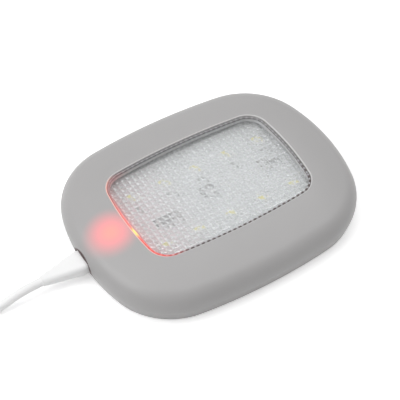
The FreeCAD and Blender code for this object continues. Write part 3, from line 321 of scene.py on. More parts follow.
def bead_mesh():
    """The bead round the lens as one closed grid: a small rounded profile carried round the window's outline.

    The profile stands on the lens and its top edges are quarter arcs. Each point keeps how far round it is.
    """
    window = window_outline()
    turn = np.linspace(0, math.pi / 2, 4)
    rise = BEAD_ROUND * (np.sin(turn) - 1)
    draw = BEAD_ROUND * (1 - np.cos(turn))
    foot = LENS_HIGH.z - BEAD_SUNK
    across = np.concatenate([[0], draw, BEAD_WIDTH - draw[::-1], [BEAD_WIDTH]])
    height = np.concatenate([[foot], BEAD_TOP + rise, BEAD_TOP + rise[::-1], [foot]])
    points = at_heights(moved_in(window, BEAD_GAP + across), height[:, None])
    mesh = grid_mesh("bead", points, True, True)
    centre = moved_in(window, BEAD_GAP + BEAD_WIDTH / 2)
    steps = np.linalg.norm(np.diff(centre, axis=0, prepend=centre[:1]), axis=-1)
    travel = np.broadcast_to(np.cumsum(steps), points.shape[:2])
    mesh.attributes.new("travel", "FLOAT", "POINT").data.foreach_set("value", travel.ravel())
    return finished(mesh, PIECE_CREASE)


CORNER_SIDES = 7


def bar_points(along, widths, heights, radii, levels):
    """Rounded rectangles strung along X: middle + half size less radius, plus the radius round each corner.

    Row by row, a point is (x, +-(width / 2 - r) + r cos a, level +-(height / 2 - r) + r sin a).
    """
    along, widths, heights, radii, levels = np.broadcast_arrays(along, widths, heights, radii, levels)
    quarter = np.linspace(0, math.pi / 2, CORNER_SIDES)
    angles = np.concatenate([quarter + k * math.pi / 2 for k in range(4)])
    side_y = np.repeat([1, -1, -1, 1], CORNER_SIDES)
    side_z = np.repeat([1, 1, -1, -1], CORNER_SIDES)
    r = radii[:, None]
    y = side_y * (widths[:, None] / 2 - r) + r * np.cos(angles)
    z = levels[:, None] + side_z * (heights[:, None] / 2 - r) + r * np.sin(angles)
    x = np.broadcast_to(along[:, None], y.shape)
    return np.stack([x, y, z], axis=-1)


def with_port(mesh):
    """The shell with its charging port cut through the end wall."""
    middle = -(SHELL_HIGH.x - SIDE_WALL)
    along = np.array([middle - SIDE_WALL * 1.5, middle + SIDE_WALL * 1.5])
    size = PLUG_HIGH - PLUG_LOW
    width = size.y + PORT_FIT * 2
    height = size.z + PORT_FIT * 2
    points = bar_points(along, width, height, PLUG_RADIUS + PORT_FIT, PORT_LEVEL)
    bar = finished(grid_mesh("port_tool", points, False, True), SHELL_CREASE)
    tool = bpy.data.objects.new("port_tool", bar)
    shell = bpy.data.objects.new("shell_blank", mesh)
    for item in (tool, shell):
        bpy.context.scene.collection.objects.link(item)
    boolean = shell.modifiers.new("port", "BOOLEAN")
    boolean.object = tool
    boolean.solver = "EXACT"
    bpy.context.view_layer.update()
    final = shell.evaluated_get(bpy.context.evaluated_depsgraph_get())
    cut = bpy.data.meshes.new_from_object(final)
    for item in (tool, shell):
        bpy.data.objects.remove(item)
    cut.name = "shell"
    return smoothed(cut, SHELL_CREASE)


# Finishes


def shader_group(name, inputs, outputs):
    """A shader group with named sockets, each input with its default: the group, its input and its output."""
    group = bpy.data.node_groups.new(name, "ShaderNodeTree")
    for label, default in inputs.items():
        kind = "NodeSocketFloat"
        if isinstance(default, tuple):
            kind = "NodeSocketColor" if len(default) == 4 else "NodeSocketVector"
        socket = group.interface.new_socket(label, in_out="INPUT", socket_type=kind)
        socket.default_value = default
    for label, kind in outputs.items():
        group.interface.new_socket(label, in_out="OUTPUT", socket_type=kind)
    return group, group.nodes.new("NodeGroupInput"), group.nodes.new("NodeGroupOutput")


def add(tree, kind, values=None, **settings):
    """A node with its settings, and values or links for its inputs by name or number."""
    made = tree.nodes.new(kind)
    for label, setting in settings.items():
        setattr(made, label, setting)
    for label, given in (values or {}).items():
        if isinstance(given, bpy.types.NodeSocket):
            tree.links.new(given, made.inputs[label])
        else:
            made.inputs[label].default_value = given
    return made


def maths(tree, operation, *values):
    """The result of a Math node on numbers or links."""
    return add(tree, "ShaderNodeMath", dict(enumerate(values)), operation=operation).outputs[0]


def blended(tree, factor, first, second, mode="MIX"):
    """The result of a colour mix of two colours or links."""
    made = add(tree, "ShaderNodeMix", data_type="RGBA", blend_type=mode)
    for label, given in ((0, factor), (6, first), (7, second)):
        if isinstance(given, bpy.types.NodeSocket):
            tree.links.new(given, made.inputs[label])
        else:
            made.inputs[label].default_value = given
    return made.outputs[2]


SKIN_OUTPUTS = {"Color": "NodeSocketColor", "Roughness": "NodeSocketFloat", "Height": "NodeSocketFloat"}
MASK_OUTPUT = {"Mask": "NodeSocketFloat"}


def noise(tree, place, scale, detail):
    """A noise between 0 and 1 at a place."""
    values = {"Vector": place, "Scale": scale, "Detail": detail}
    return add(tree, "ShaderNodeTexNoise", values).outputs[0]


def skin_results(group, given, result, value, texture):
    """Joins up a skin: its colour by a value, its roughness and its height by a texture."""
    shade = add(group, "ShaderNodeHueSaturation", {"Color": given.outputs["Color"], "Value": value})
    rough = maths(group, "SUBTRACT", texture, 0.5)
    rough = maths(group, "MULTIPLY_ADD", rough, given.outputs["Spread"], given.outputs["Roughness"])
    group.links.new(shade.outputs[0], result.inputs["Color"])
    group.links.new(rough, result.inputs["Roughness"])
    group.links.new(texture, result.inputs["Height"])


def moulded_group():
    """Moulded plastic: fine grain and broad clouding. Gives a colour, a roughness and a height for a bump."""
    inputs = {
        "Color": (0.5, 0.5, 0.5, 1.0),
        "Clouding": 0.05,
        "Grain Scale": 2500.0,
        "Roughness": 0.45,
        "Spread": 0.1,
    }
    group, given, result = shader_group("moulded_skin", inputs, SKIN_OUTPUTS)
    place = add(group, "ShaderNodeTexCoord").outputs["Object"]
    grain = noise(group, place, given.outputs["Grain Scale"], 3.0)
    cloud = noise(group, place, 70.0, 2.0)
    mixed = maths(group, "MULTIPLY_ADD", grain, 0.5, maths(group, "SUBTRACT", cloud, 0.75))
    value = maths(group, "MULTIPLY_ADD", mixed, given.outputs["Clouding"], 1.0)
    skin_results(group, given, result, value, grain)
    return group


def metal_group():
    """Rolled or plated metal: streaks along X and dull spots. Gives a colour, a roughness and a height."""
    inputs = {
        "Color": (0.7, 0.7, 0.7, 1.0),
        "Dulling": 0.15,
        "Streak Scale": 900.0,
        "Roughness": 0.3,
        "Spread": 0.15,
    }
    group, given, result = shader_group("rolled_metal", inputs, SKIN_OUTPUTS)
    place = add(group, "ShaderNodeTexCoord").outputs["Object"]
    drawn = add(group, "ShaderNodeMapping", {"Vector": place, "Scale": (0.08, 1.0, 1.0)}).outputs[0]
    streak = noise(group, drawn, given.outputs["Streak Scale"], 2.0)
    spots = noise(group, place, 600.0, 4.0)
    value = maths(group, "SUBTRACT", 1.0, maths(group, "MULTIPLY", spots, given.outputs["Dulling"]))
    skin_results(group, given, result, value, streak)
    return group


def vector_maths(tree, operation, *values):
    """A Vector Math node on vectors or links."""
    return add(tree, "ShaderNodeVectorMath", dict(enumerate(values)), operation=operation)


def smooth_step(tree, value, start, stop, first, last):
    """A value carried smoothly from first at start to last at stop."""
    ranges = {"Value": value, "From Min": start, "From Max": stop, "To Min": first, "To Max": last}
    return add(tree, "ShaderNodeMapRange", ranges, interpolation_type="SMOOTHSTEP").outputs[0]


def glow_group():
    """A soft disc of light through plastic: 1 within Inner of the centre, falling smoothly to 0 at Outer."""
    inputs = {"Centre": (0.0, 0.0, 0.0), "Stretch": (1.0, 1.0, 1.0), "Inner": 0.001, "Outer": 0.006}
    group, given, result = shader_group("glow_disc", inputs, MASK_OUTPUT)
    place = add(group, "ShaderNodeTexCoord").outputs["Object"]
    away = vector_maths(group, "SUBTRACT", place, given.outputs["Centre"]).outputs[0]
    away = vector_maths(group, "MULTIPLY", away, given.outputs["Stretch"]).outputs[0]
    length = vector_maths(group, "LENGTH", away).outputs["Value"]
    fade = smooth_step(group, length, given.outputs["Inner"], given.outputs["Outer"], 1.0, 0.0)
    group.links.new(fade, result.inputs["Mask"])
    return group


def fade_group():
    """A smooth step along a direction: 0 before Start, 1 after Stop, by the distance of a point along it."""
    inputs = {"Direction": (1.0, 0.0, 0.0), "Start": 0.0, "Stop": 0.01}
    group, given, result = shader_group("fade_along", inputs, MASK_OUTPUT)
    place = add(group, "ShaderNodeTexCoord").outputs["Object"]
    along = vector_maths(group, "DOT_PRODUCT", place, given.outputs["Direction"]).outputs["Value"]
    fade = smooth_step(group, along, given.outputs["Start"], given.outputs["Stop"], 0.0, 1.0)
    group.links.new(fade, result.inputs["Mask"])
    return group


MOULDED = moulded_group()
METAL = metal_group()
GLOW = glow_group()
FADE = fade_group()


def new_finish(name):
    """A material with a Principled shader: gives the material, its tree and the shader."""
    finish = bpy.data.materials.new(name)
    finish.use_nodes = True
    tree = finish.node_tree
    tree.nodes.clear()
    shader = tree.nodes.new("ShaderNodeBsdfPrincipled")
    output = tree.nodes.new("ShaderNodeOutputMaterial")
    tree.links.new(shader.outputs[0], output.inputs["Surface"])
    return finish, tree, shader


def placed_group(tree, group, **values):
    """A group in a material, with its own values: Grain_Scale=900 sets the input Grain Scale."""
    made = add(tree, "ShaderNodeGroup", node_tree=group)
    for label, given in values.items():
        made.inputs[label.replace("_", " ")].default_value = given
    return made


def glow(tree, centre, stretch, inner, outer):
    """The mask of a soft disc."""
    return placed_group(tree, GLOW, Centre=centre, Stretch=stretch, Inner=inner, Outer=outer).outputs[0]


def fade(tree, direction, start, stop):
    """The mask of a smooth step along a direction."""
    return placed_group(tree, FADE, Direction=direction, Start=start, Stop=stop).outputs[0]


def marked(tree, label):
    """The value of a mark that a mesh keeps at its points."""
    return add(tree, "ShaderNodeAttribute", attribute_name=label).outputs["Fac"]


def shines(tree, shader, light, strength=1.0):
    """Gives the shader a light of its own."""
    tree.links.new(light, shader.inputs["Emission Color"])
    shader.inputs["Emission Strength"].default_value = strength


def bumped(tree, shader, height, strength, distance):
    """A bump from a height, on the shader's normal."""
    bump = add(tree, "ShaderNodeBump", {"Height": height, "Strength": strength, "Distance": distance})
    tree.links.new(bump.outputs[0], shader.inputs["Normal"])


def skinned(tree, shader, group, **values):
    """A skin group with its values, on the shader's colour and roughness."""
    skin = placed_group(tree, group, **values)
    tree.links.new(skin.outputs["Color"], shader.inputs["Base Color"])
    tree.links.new(skin.outputs["Roughness"], shader.inputs["Roughness"])
    return skin


def plastic(name, color, clouding=0.06, scale=2500.0, roughness=0.45, spread=0.1, bump=0.15):
    """A moulded plastic or rubber: gives the material, its tree, shader and skin."""
    finish, tree, shader = new_finish(name)
    look = {"Clouding": clouding, "Grain_Scale": scale, "Roughness": roughness, "Spread": spread}
    skin = skinned(tree, shader, MOULDED, Color=(*color, 1.0), **look)
    bumped(tree, shader, skin.outputs["Height"], bump, 0.02 * MM)
    return finish, tree, shader, skin


def metal(name, color, dulling=0.15, scale=900.0, roughness=0.3, spread=0.15):
    """A rolled, drawn or plated metal."""
    finish, tree, shader = new_finish(name)
    look = {"Dulling": dulling, "Streak_Scale": scale, "Roughness": roughness, "Spread": spread}
    skin = skinned(tree, shader, METAL, Color=(*color, 1.0), **look)
    shader.inputs["Metallic"].default_value = 1.0
    bumped(tree, shader, skin.outputs["Height"], 0.1, 0.01 * MM)
    return finish


# Places and reaches of the painted charge light, the port's painted shadow and the lens's haze
GLOW_TOP = (INDICATOR.x + 1.5 * MM, INDICATOR.y - 2.1 * MM, 12 * MM)
GLOW_STRETCH = (1.0, 1.0, 0.3)
HOT_SPOT = (-30.5 * MM, -4.8 * MM, 14 * MM)
HOT_STRETCH = (1.0, 0.55, 1.0)
EVEN = (1.0, 1.0, 1.0)
PORT_MOUTH = (-SHELL_HIGH.x, 0.0, PORT_LEVEL)
PORT_STRETCH = (1 / (4 * MM), 1 / (5.4 * MM), 1 / (3.8 * MM))
LENS_STRETCH = (1 / WINDOW_HALF_LENGTH, 1 / WINDOW_HALF_WIDTH, 0.0)
MIDDLE = (0.0, 0.0, 0.0)
TO_PORT = (-1.0, 0.0, 0.0)
TO_NEAR_SIDE = (0.0, -1.0, 0.0)
TO_TABLE = (0.0, 0.0, -1.0)

# Colours of light
BLACK = (0.0, 0.0, 0.0, 1.0)
RED = (0.6, 0.0, 0.025, 1.0)
PEACH = (0.66, 0.05, 0.0, 1.0)
YELLOW = (1.0, 0.72, 0.12, 1.0)
WALL_RED = (0.42, 0.1, 0.05, 1.0)
BEAD_RED = (0.75, 0.06, 0.05, 1.0)
LENS_RED = (0.14, 0.02, 0.02, 1.0)
DIODE_RED = (0.7, 0.02, 0.01, 1.0)
DIODE_ORANGE = (1.0, 0.3, 0.1, 1.0)

# Colours of surfaces
SHELL_GREY = (0.39, 0.383, 0.383)
# Painted glow: the reddish grey the shell takes where the charge light shows through
GLOW_PAINTED_GREY = (0.42, 0.36, 0.35, 1.0)
# Painted shade in the window's wall
RECESS_PAINTED_SHADE = (0.1, 0.1, 0.1, 1.0)
# Painted highlight on the window's rim
RIM_PAINTED_HIGHLIGHT = (0.66, 0.65, 0.65, 1.0)
# Painted shadow in the port's gap
PORT_PAINTED_SHADOW = (0.05, 0.015, 0.015, 1.0)
LINING_WHITE = (0.9, 0.9, 0.9, 1.0)
BEAD_GREY = (0.2, 0.195, 0.2)
# Painted shade on the bead's near side
BEAD_PAINTED_SHADE = (0.07, 0.05, 0.05, 1.0)
# Painted refraction: light dashes along the bead
BEAD_PAINTED_REFRACTION = (0.5, 0.5, 0.51, 1.0)
# Painted light on the bead's foot
BEAD_FOOT_PAINTED_LIGHT = (0.66, 0.66, 0.67, 1.0)
LENS_TINT = (0.72, 0.735, 0.74, 1.0)
LENS_SHADE = (0.95, 0.95, 0.95, 1.0)
BOARD_WHITE = (0.64, 0.65, 0.65)
# Painted glow of the charge light on the board
BOARD_PAINTED_GLOW = (0.66, 0.48, 0.5, 1.0)
POUCH_SILVER = (0.72, 0.73, 0.75, 1.0)

LENS_CLEARNESS = 0.78
LENS_HAZE = 0.05
ACRYLIC_IOR = 1.49


def shell_finish():
    """Satin grey moulding, with the charge light's glow painted at its thin spot and the window's end wall.

    The window's rim has a painted highlight and its wall painted shade, the port has a painted shadow round
    its gap, and the inside is white.
    """
    finish, tree, shader, skin = plastic("shell", SHELL_GREY, 0.05, 3200.0, 0.42, 0.08, 0.12)
    disc = glow(tree, GLOW_TOP, GLOW_STRETCH, 2 * MM, 10.2 * MM)
    recess = marked(tree, "recess")
    # Painted glow of the charge light in the base colour
    shade = blended(tree, disc, skin.outputs["Color"], GLOW_PAINTED_GREY)
    # Painted shade in the window's wall
    shade = blended(tree, maths(tree, "MULTIPLY", recess, 0.35), shade, RECESS_PAINTED_SHADE)
    # Painted highlight on the window's rim
    shade = blended(tree, maths(tree, "MULTIPLY", marked(tree, "rim"), 0.9), shade, RIM_PAINTED_HIGHLIGHT)
    # Painted shadow round the port's gap
    shade = blended(tree, glow(tree, PORT_MOUTH, PORT_STRETCH, 0.96, 1.12), shade, PORT_PAINTED_SHADOW)
    shade = blended(tree, marked(tree, "inside"), shade, LINING_WHITE)
    tree.links.new(shade, shader.inputs["Base Color"])
    # Painted glow of the charge light: red with a peach heart, and red on the window's wall at the port end
    heart = glow(tree, GLOW_TOP, GLOW_STRETCH, 0.5 * MM, 4.5 * MM)
    light = blended(tree, disc, BLACK, blended(tree, heart, RED, PEACH))
    wall = maths(tree, "MULTIPLY", fade(tree, TO_PORT, 24 * MM, 30.5 * MM), recess)
    shines(tree, shader, blended(tree, wall, light, WALL_RED))
    return finish


def bead_finish():
    """Dark bead with light dashes of painted refraction, lit red at the charging end, with one bright spot.

    Its near side has painted shade, the dashes are clearer there and fade out where the bead is lit, and its
    foot is lighter with painted light.
    """
    finish, tree, shader, skin = plastic("bead", BEAD_GREY, 0.1, 2500.0, 0.35, 0.1, 0.15)
    beat = maths(tree, "SINE", maths(tree, "MULTIPLY", marked(tree, "travel"), 2 * math.pi / BEAD_PITCH))
    near = fade(tree, TO_NEAR_SIDE, 2 * MM, 14 * MM)
    end = fade(tree, TO_PORT, 18 * MM, 30 * MM)
    share = maths(tree, "MULTIPLY_ADD", near, 0.35, 0.4)
    share = maths(tree, "MULTIPLY", share, maths(tree, "MULTIPLY_ADD", end, -0.8, 1.0))
    # Painted refraction: light dashes, clearer on the near side
    refraction_dash = maths(tree, "MULTIPLY", maths(tree, "GREATER_THAN", beat, 0.3), share)
    # Painted shade on the near side
    shade = blended(tree, near, skin.outputs["Color"], BEAD_PAINTED_SHADE)
    shade = blended(tree, refraction_dash, shade, BEAD_PAINTED_REFRACTION)
    # Painted light on the bead's foot
    shade = blended(tree, fade(tree, TO_TABLE, -13.7 * MM, -13.2 * MM), shade, BEAD_FOOT_PAINTED_LIGHT)
    tree.links.new(shade, shader.inputs["Base Color"])
    # Painted glow of the charge light: red at the charging end, with a painted yellow hot spot
    close = fade(tree, TO_NEAR_SIDE, -15 * MM, 0.0)
    lit = maths(tree, "MULTIPLY", end, maths(tree, "MULTIPLY_ADD", close, 0.75, 0.25))
    spot = glow(tree, HOT_SPOT, HOT_STRETCH, 0.3 * MM, 1.6 * MM)
    shines(tree, shader, blended(tree, spot, blended(tree, lit, BLACK, BEAD_RED), YELLOW))
    return finish


def surface_of(tree):
    """The input that a material's surface goes into."""
    output = next(item for item in tree.nodes if item.type == "OUTPUT_MATERIAL")
    return output.inputs["Surface"]


def lens_finish():
    """Clear acrylic, hazier in the middle, that lets lamp light through and is lit red at its end."""
    finish, tree, shader = new_finish("lens")
    look = {"Clouding": 0.02, "Grain_Scale": 900.0, "Roughness": 0.2, "Spread": 0.03}
    skinned(tree, shader, MOULDED, Color=LENS_TINT, **look)
    hazed = glow(tree, MIDDLE, LENS_STRETCH, 0.55, 0.95)
    clear = maths(tree, "MULTIPLY_ADD", hazed, -LENS_HAZE, LENS_CLEARNESS)
    tree.links.new(clear, shader.inputs["Transmission Weight"])
    shader.inputs["IOR"].default_value = ACRYLIC_IOR
    # Painted red glow of the charge light at the lens's end
    shines(tree, shader, blended(tree, fade(tree, TO_PORT, 27 * MM, 31 * MM), BLACK, LENS_RED))
    shadow = add(tree, "ShaderNodeLightPath").outputs["Is Shadow Ray"]
    through = add(tree, "ShaderNodeBsdfTransparent", {"Color": LENS_SHADE})
    shown = add(tree, "ShaderNodeMixShader", {0: shadow, 1: shader.outputs[0], 2: through.outputs[0]})
    tree.links.new(shown.outputs[0], surface_of(tree))
    return finish


def board_finish():
    """White solder resist, faintly grained, with the charge light's red glow painted on at its end."""
    finish, tree, shader, skin = plastic("board", BOARD_WHITE, 0.04, 1800.0, 0.35, 0.1, 0.1)
    # Painted glow of the charge light at the board's end
    glow_painted_color = blended(tree, fade(tree, TO_PORT, 4 * MM, 30 * MM), skin.outputs["Color"], BOARD_PAINTED_GLOW)
    tree.links.new(glow_painted_color, shader.inputs["Base Color"])
    return finish


def phosphor_finish():
    """Yellow phosphor in clear resin, speckled."""
    finish, _, shader, _ = plastic("phosphor", (0.82, 0.72, 0.02), 0.25, 4000.0, 0.3, 0.1, 0.2)
    shader.inputs["Coat Weight"].default_value = 0.5
    return finish


def indicator_finish():
    """The lit charge light, brightest in the middle."""
    finish, tree, shader, _ = plastic("indicator", (0.8, 0.12, 0.08), 0.1, 2500.0, 0.3, 0.1, 0.1)
    disc = glow(tree, tuple(INDICATOR), EVEN, 0.2 * MM, 1.6 * MM)
    shines(tree, shader, blended(tree, disc, DIODE_RED, DIODE_ORANGE), 3.0)
    return finish


def pouch_finish():
    """Aluminium-laminate pouch, softly crinkled."""
    finish, tree, shader = new_finish("pouch")
    look = {"Dulling": 0.2, "Streak_Scale": 300.0, "Roughness": 0.38, "Spread": 0.2}
    skinned(tree, shader, METAL, Color=POUCH_SILVER, **look)
    shader.inputs["Metallic"].default_value = 0.85
    place = add(tree, "ShaderNodeTexCoord").outputs["Object"]
    crinkle = add(tree, "ShaderNodeTexVoronoi", {"Vector": place, "Scale": 160.0}, feature="SMOOTH_F1")
    bumped(tree, shader, crinkle.outputs["Distance"], 0.35, 0.4 * MM)
    return finish


FINISHES = {
    "shell": shell_finish(),
    "cover": plastic("cover", (0.42, 0.41, 0.41), 0.06, 2200.0, 0.5, 0.1, 0.3)[0],
    "lens": lens_finish(),
    "bead": bead_finish(),
    "board": board_finish(),
    "solder": metal("solder", (0.78, 0.78, 0.79), 0.25, 1500.0, 0.32, 0.2),
    "spring": metal("spring", (0.13, 0.13, 0.135), 0.2, 2500.0, 0.35, 0.15),
    "chip": plastic("chip", (0.008, 0.008, 0.009), 0.3, 5000.0, 0.5, 0.15, 0.3)[0],
    "capacitor": plastic("capacitor", (0.1, 0.075, 0.055), 0.3, 3500.0, 0.5, 0.15, 0.3)[0],
    "led_case": plastic("led_case", (0.86, 0.85, 0.82), 0.05, 3000.0, 0.4, 0.1, 0.15)[0],
    "phosphor": phosphor_finish(),
    "indicator": indicator_finish(),
    "socket": metal("socket", (0.52, 0.52, 0.53), 0.18, 1200.0, 0.28, 0.18),
    "contact": metal("contact", (0.86, 0.66, 0.3), 0.15, 2200.0, 0.25, 0.15),
    "pouch": pouch_finish(),
    "strip": plastic("strip", (0.55, 0.3, 0.05), 0.15, 1500.0, 0.35, 0.1, 0.2)[0],
    "foam": plastic("foam", (0.06, 0.06, 0.065), 0.4, 1800.0, 0.9, 0.1, 0.9)[0],
    "wire_red": plastic("wire_red", (0.5, 0.02, 0.02), 0.1, 2000.0, 0.4, 0.1, 0.2)[0],
    "wire_black": plastic("wire_black", (0.02, 0.02, 0.02), 0.2, 2000.0, 0.4, 0.1, 0.2)[0],
    "magnet": metal("magnet", (0.66, 0.65, 0.63), 0.2, 1000.0, 0.2, 0.12),
    "screw": metal("screw", (0.6, 0.6, 0.61), 0.25, 1600.0, 0.3, 0.2),
    "cable": plastic("cable", (0.88, 0.88, 0.88), 0.05, 1600.0, 0.42, 0.1, 0.2)[0],
    "tie": plastic("tie", (0.03, 0.03, 0.032), 0.2, 1400.0, 0.5, 0.1, 0.4)[0],
    "insert": plastic("insert", (0.75, 0.75, 0.74), 0.06, 2500.0, 0.45, 0.1, 0.2)[0],
}


# The pieces


def cable_piece():
    """The cable as one NURBS line: from the plug down to the table, round four turns and to the far plug.

    The turns go clockwise seen from above. Each control point is centre + radius (cos a, sin a), the radius
    and height of a turn reached by a short ramp from those of the turn before.
    """
    start = PLUG_LOW.x
    floor = COIL_LOW.z + CABLE_DIAMETER / 2
    upper = COIL_HIGH.z - CABLE_DIAMETER / 2
    centre_x = (TIE_LOW.x + TIE_HIGH.x) / 2
    outer = (centre_x - COIL_LOW.x) - CABLE_DIAMETER / 2
    inner = outer - (upper - floor)
    route = [
        (start, 0.0, PORT_LEVEL),
        (start - LEAD_STRAIGHT, 0.0, PORT_LEVEL),
        (start - LEAD_DOWN, 0.0, floor),
        (start - LEAD_FLAT, 0.0, floor),
    ]
    lanes = [(outer, floor), (inner, floor), (inner, upper), (outer, upper)]
    stretch = 1 / math.cos(math.pi / TURN_POINTS)
    before = lanes[0]
    for lane in lanes:
        for step in range(TURN_POINTS):
            share = min(1.0, (step + 0.5) / RAMP_POINTS)
            radius = (before[0] + (lane[0] - before[0]) * share) * stretch
            height = before[1] + (lane[1] - before[1]) * share
            angle = -math.pi / 2 - 2 * math.pi * (step + 0.5) / TURN_POINTS
            x = centre_x + radius * math.cos(angle)
            y = outer + radius * math.sin(angle)
            route.append((x, y, height))
        before = lane
    route.append((centre_x - LAST_LEAD, 0.0, upper))
    route.append((SUPPLY_HIGH.x, 0.0, upper))
    curve = bpy.data.curves.new("cable", "CURVE")
    curve.dimensions = "3D"
    spline = curve.splines.new("NURBS")
    spline.points.add(len(route) - 1)
    for point, place in zip(spline.points, route):
        point.co = (*place, 1.0)
        point.radius = CABLE_DIAMETER / 2
    spline.order_u = 3
    spline.use_endpoint_u = True
    curve.bevel_depth = 1.0
    curve.bevel_resolution = 6
    curve.use_fill_caps = True
    spline.resolution_u = 10
    return piece_of("cable_line", curve, "cable", "cable", "cable_coil")


def plug_grip_mesh():
    """The charging plug's grip: rounded rectangles strung along X, drawn down evenly to the cable.

    The front edge closes in by a quarter arc.
    """
    front = PLUG_HIGH.x
    size = PLUG_HIGH - PLUG_LOW
    turn = np.linspace(0, math.pi / 2, 6)
    nose = PLUG_NOSE * (1 - np.sin(turn))
    share = np.linspace(0, 1, 13)
    drawn = PLUG_LOW.x - (front - PLUG_STRAIGHT)
    nose_along = front - PLUG_NOSE * (1 - np.cos(turn))
    along = np.concatenate([nose_along, front - PLUG_STRAIGHT + drawn * share])
    widths = np.concatenate([size.y - 2 * nose, size.y + (NECK_END_DIAMETER - size.y) * share])
    heights = np.concatenate([size.z - 2 * nose, size.z + (NECK_END_DIAMETER - size.z) * share])
    end_radius = NECK_END_DIAMETER / 2 * 0.99
    radii = np.concatenate([PLUG_RADIUS - nose / 2, PLUG_RADIUS + (end_radius - PLUG_RADIUS) * share])
    points = bar_points(along, widths, heights, radii, PORT_LEVEL)
    return finished(grid_mesh("plug_grip", points, False, True), PIECE_CREASE)


def supply_grip_mesh():
    """The supply plug's grip: the same way, with the neck higher than the grip's middle."""
    start = SUPPLY_HIGH.x
    back = start - NECK_LENGTH
    front = SUPPLY_LOW.x
    width = SUPPLY_HIGH.y - SUPPLY_LOW.y
    height = SUPPLY_HIGH.z - SUPPLY_LOW.z
    level = (SUPPLY_HIGH.z + SUPPLY_LOW.z) / 2
    neck_level = COIL_HIGH.z - CABLE_DIAMETER / 2
    turn = np.linspace(0, math.pi / 2, 6)
    neck = np.linspace(0, 1, 4)
    opening = SUPPLY_ROUND * (1 - np.sin(turn))
    closing = SUPPLY_ROUND * (1 - np.cos(turn))
    along = np.concatenate([start - NECK_LENGTH * neck, back - closing, front + opening])
    inset = np.concatenate([opening, closing])
    round_neck = NECK_END_DIAMETER + (NECK_DIAMETER - NECK_END_DIAMETER) * neck
    widths = np.concatenate([round_neck, width - 2 * inset])
    heights = np.concatenate([round_neck, height - 2 * inset])
    radii = np.concatenate([round_neck / 2 * 0.999, SUPPLY_RADIUS - inset * 0.5])
    levels = np.concatenate([np.full_like(neck, neck_level), np.full_like(inset, level)])
    points = bar_points(along, widths, heights, radii, levels)
    return finished(grid_mesh("supply_grip", points, False, True), PIECE_CREASE)


def tie_mesh():
    """The tie as one closed grid: a rounded rectangle carried over the tie's width and thickness."""
    width = TIE_HIGH.y - TIE_LOW.y
    height = TIE_HIGH.z - TIE_LOW.z
    along = np.array([TIE_LOW.x, TIE_HIGH.x, TIE_HIGH.x, TIE_LOW.x])
    inset = np.array([0, 0, TIE_THICKNESS, TIE_THICKNESS])
    level = (TIE_HIGH.z + TIE_LOW.z) / 2
    points = bar_points(along, width - 2 * inset, height - 2 * inset, TIE_RADIUS - inset, level)
    points[..., 1] += (TIE_LOW.y + TIE_HIGH.y) / 2
    return finished(grid_mesh("cable_tie", points, True, True), PIECE_CREASE)


def smooth_copy(name):
    """A solid's own mesh, merged and shaded smooth, for a piece whose curved faces show."""
    mesh = NODES[name].data.copy()
    mesh.materials.clear()
    work = bmesh.new()
    work.from_mesh(mesh)
    bmesh.ops.remove_doubles(work, verts=work.verts, dist=WELD)
    work.to_mesh(mesh)
    work.free()
    return piece_of(f"{name}_smooth", smoothed(mesh, SOLID_CREASE), SLOT_OF[name], name)


cable_line = cable_piece()
piece_of("shell", with_port(shell_mesh()), "shell", "top_shell")
bead = piece_of("lens_bead", bead_mesh(), "shell")
bead.data.materials[0] = FINISHES["bead"]
plug_grip = piece_of("plug_grip_moulding", plug_grip_mesh(), "cable", "plug_grip")
supply_grip = piece_of("supply_grip_moulding", supply_grip_mesh(), "cable", "supply_grip")
tie = piece_of("coil_tie", tie_mesh(), "tie", "cable_tie")
plug_shell = smooth_copy("plug_shell")
supply_shell = smooth_copy("supply_shell")
for shown in ("back_cover", "case_screws", "board_screws", "touch_spring", "socket_shell"):
    smooth_copy(shown)

for name, solid in NODES.items():
    for place in solid.material_slots:
        place.material = FINISHES[SLOT_OF[name]]


# The table, the light and the camera


WHITE = (1.0, 1.0, 1.0, 1.0)
TABLE_REACH = 3.0
TABLE_LEVEL = -0.05 * MM
TABLE_SHADES = ((0.9, 0.9, 0.9, 1.0), (0.92, 0.92, 0.92, 1.0))
TABLE_NEAR = 0.3
TABLE_FAR = 0.9
TABLE_OWN_LIGHT = 0.4
WORLD_LIGHT = 0.38


def white_rays(tree):
    """1 for a ray from the camera, a reflection or a clear piece, which sees the background as white."""
    path = add(tree, "ShaderNodeLightPath")
    seen = maths(tree, "MAXIMUM", path.outputs["Is Camera Ray"], path.outputs["Is Glossy Ray"])
    return maths(tree, "MAXIMUM", seen, path.outputs["Is Transmission Ray"])


def white_table():
    """A broad white table that keeps the lamp's shadow and is white where nothing shades it.

    It lies just below the lamp, so that the two don't share a plane, and whitens with distance.
    """
    sides = [(-1, -1), (1, -1), (1, 1), (-1, 1)]
    mesh = bpy.data.meshes.new("table")
    corners = [(x * TABLE_REACH, y * TABLE_REACH, TABLE_LEVEL) for x, y in sides]
    mesh.from_pydata(corners, [], [(0, 1, 2, 3)])
    table = bpy.data.objects.new("table", mesh)
    bpy.context.scene.collection.objects.link(table)
    finish, tree, shader = new_finish("table")
    place = add(tree, "ShaderNodeTexCoord").outputs["Object"]
    cloud = noise(tree, place, 40.0, 2.0)
    tree.links.new(blended(tree, cloud, *TABLE_SHADES), shader.inputs["Base Color"])
    shader.inputs["Roughness"].default_value = 0.8
    near = glow(tree, MIDDLE, EVEN, TABLE_NEAR, TABLE_FAR)
    level = maths(tree, "MULTIPLY_ADD", near, TABLE_OWN_LIGHT - 1.0, 1.0)
    strength = maths(tree, "MULTIPLY", white_rays(tree), level)
    light = add(tree, "ShaderNodeEmission", {"Color": WHITE, "Strength": strength})
    both = add(tree, "ShaderNodeAddShader", {0: shader.outputs[0], 1: light.outputs[0]})
    tree.links.new(both.outputs[0], surface_of(tree))
    mesh.materials.append(finish)


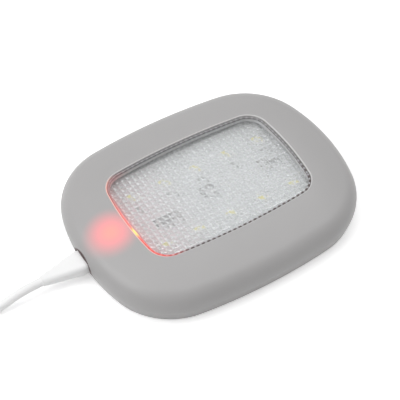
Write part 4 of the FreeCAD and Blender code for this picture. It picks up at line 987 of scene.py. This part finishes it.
def soft_light(name, place, size, power):
    """A square area lamp aimed at the object."""
    lamp = bpy.data.lights.new(name, "AREA")
    lamp.size = size
    lamp.energy = power
    holder = bpy.data.objects.new(name, lamp)
    holder.location = place
    holder.rotation_euler = (-Vector(place)).to_track_quat("-Z", "Y").to_euler()
    bpy.context.scene.collection.objects.link(holder)


def surroundings():
    """A pale even surround, white to the camera and in reflections."""
    world = bpy.data.worlds.new("surround")
    bpy.context.scene.world = world
    world.use_nodes = True
    tree = world.node_tree
    tree.nodes.clear()
    strength = maths(tree, "MULTIPLY_ADD", white_rays(tree), 1.0 - WORLD_LIGHT, WORLD_LIGHT)
    back = add(tree, "ShaderNodeBackground", {"Color": WHITE, "Strength": strength})
    output = tree.nodes.new("ShaderNodeOutputWorld")
    tree.links.new(back.outputs[0], output.inputs["Surface"])


CAMERA_TURN = math.radians(31.736)
CAMERA_LIFT = math.radians(51.083)
CAMERA_DISTANCE = 486.9 * MM
CAMERA_LENS = 132.1
CAMERA_SENSOR = 36.0
CAMERA_SHIFT = (-0.0229, 0.0268)
CAMERA_CLIP = 0.01


def photo_camera():
    """The camera at the photograph's angle, distance and framing."""
    camera = bpy.data.cameras.new("camera")
    camera.lens = CAMERA_LENS
    camera.sensor_width = CAMERA_SENSOR
    camera.shift_x, camera.shift_y = CAMERA_SHIFT
    camera.clip_start = CAMERA_CLIP
    holder = bpy.data.objects.new("camera", camera)
    flat = CAMERA_DISTANCE * math.cos(CAMERA_LIFT)
    rise = CAMERA_DISTANCE * math.sin(CAMERA_LIFT)
    place = Vector((-flat * math.sin(CAMERA_TURN), -flat * math.cos(CAMERA_TURN), rise))
    holder.location = place
    holder.rotation_euler = (-place).to_track_quat("-Z", "Y").to_euler()
    bpy.context.scene.collection.objects.link(holder)
    bpy.context.scene.camera = holder


white_table()
surroundings()
soft_light("left_window", (-0.5, 0.15, 0.6), 0.6, 2.9)
soft_light("overhead", (0.2, 0.1, 0.8), 0.8, 3.0)
photo_camera()
bpy.context.scene.view_settings.view_transform = "Standard"

bpy.context.view_layer.update()
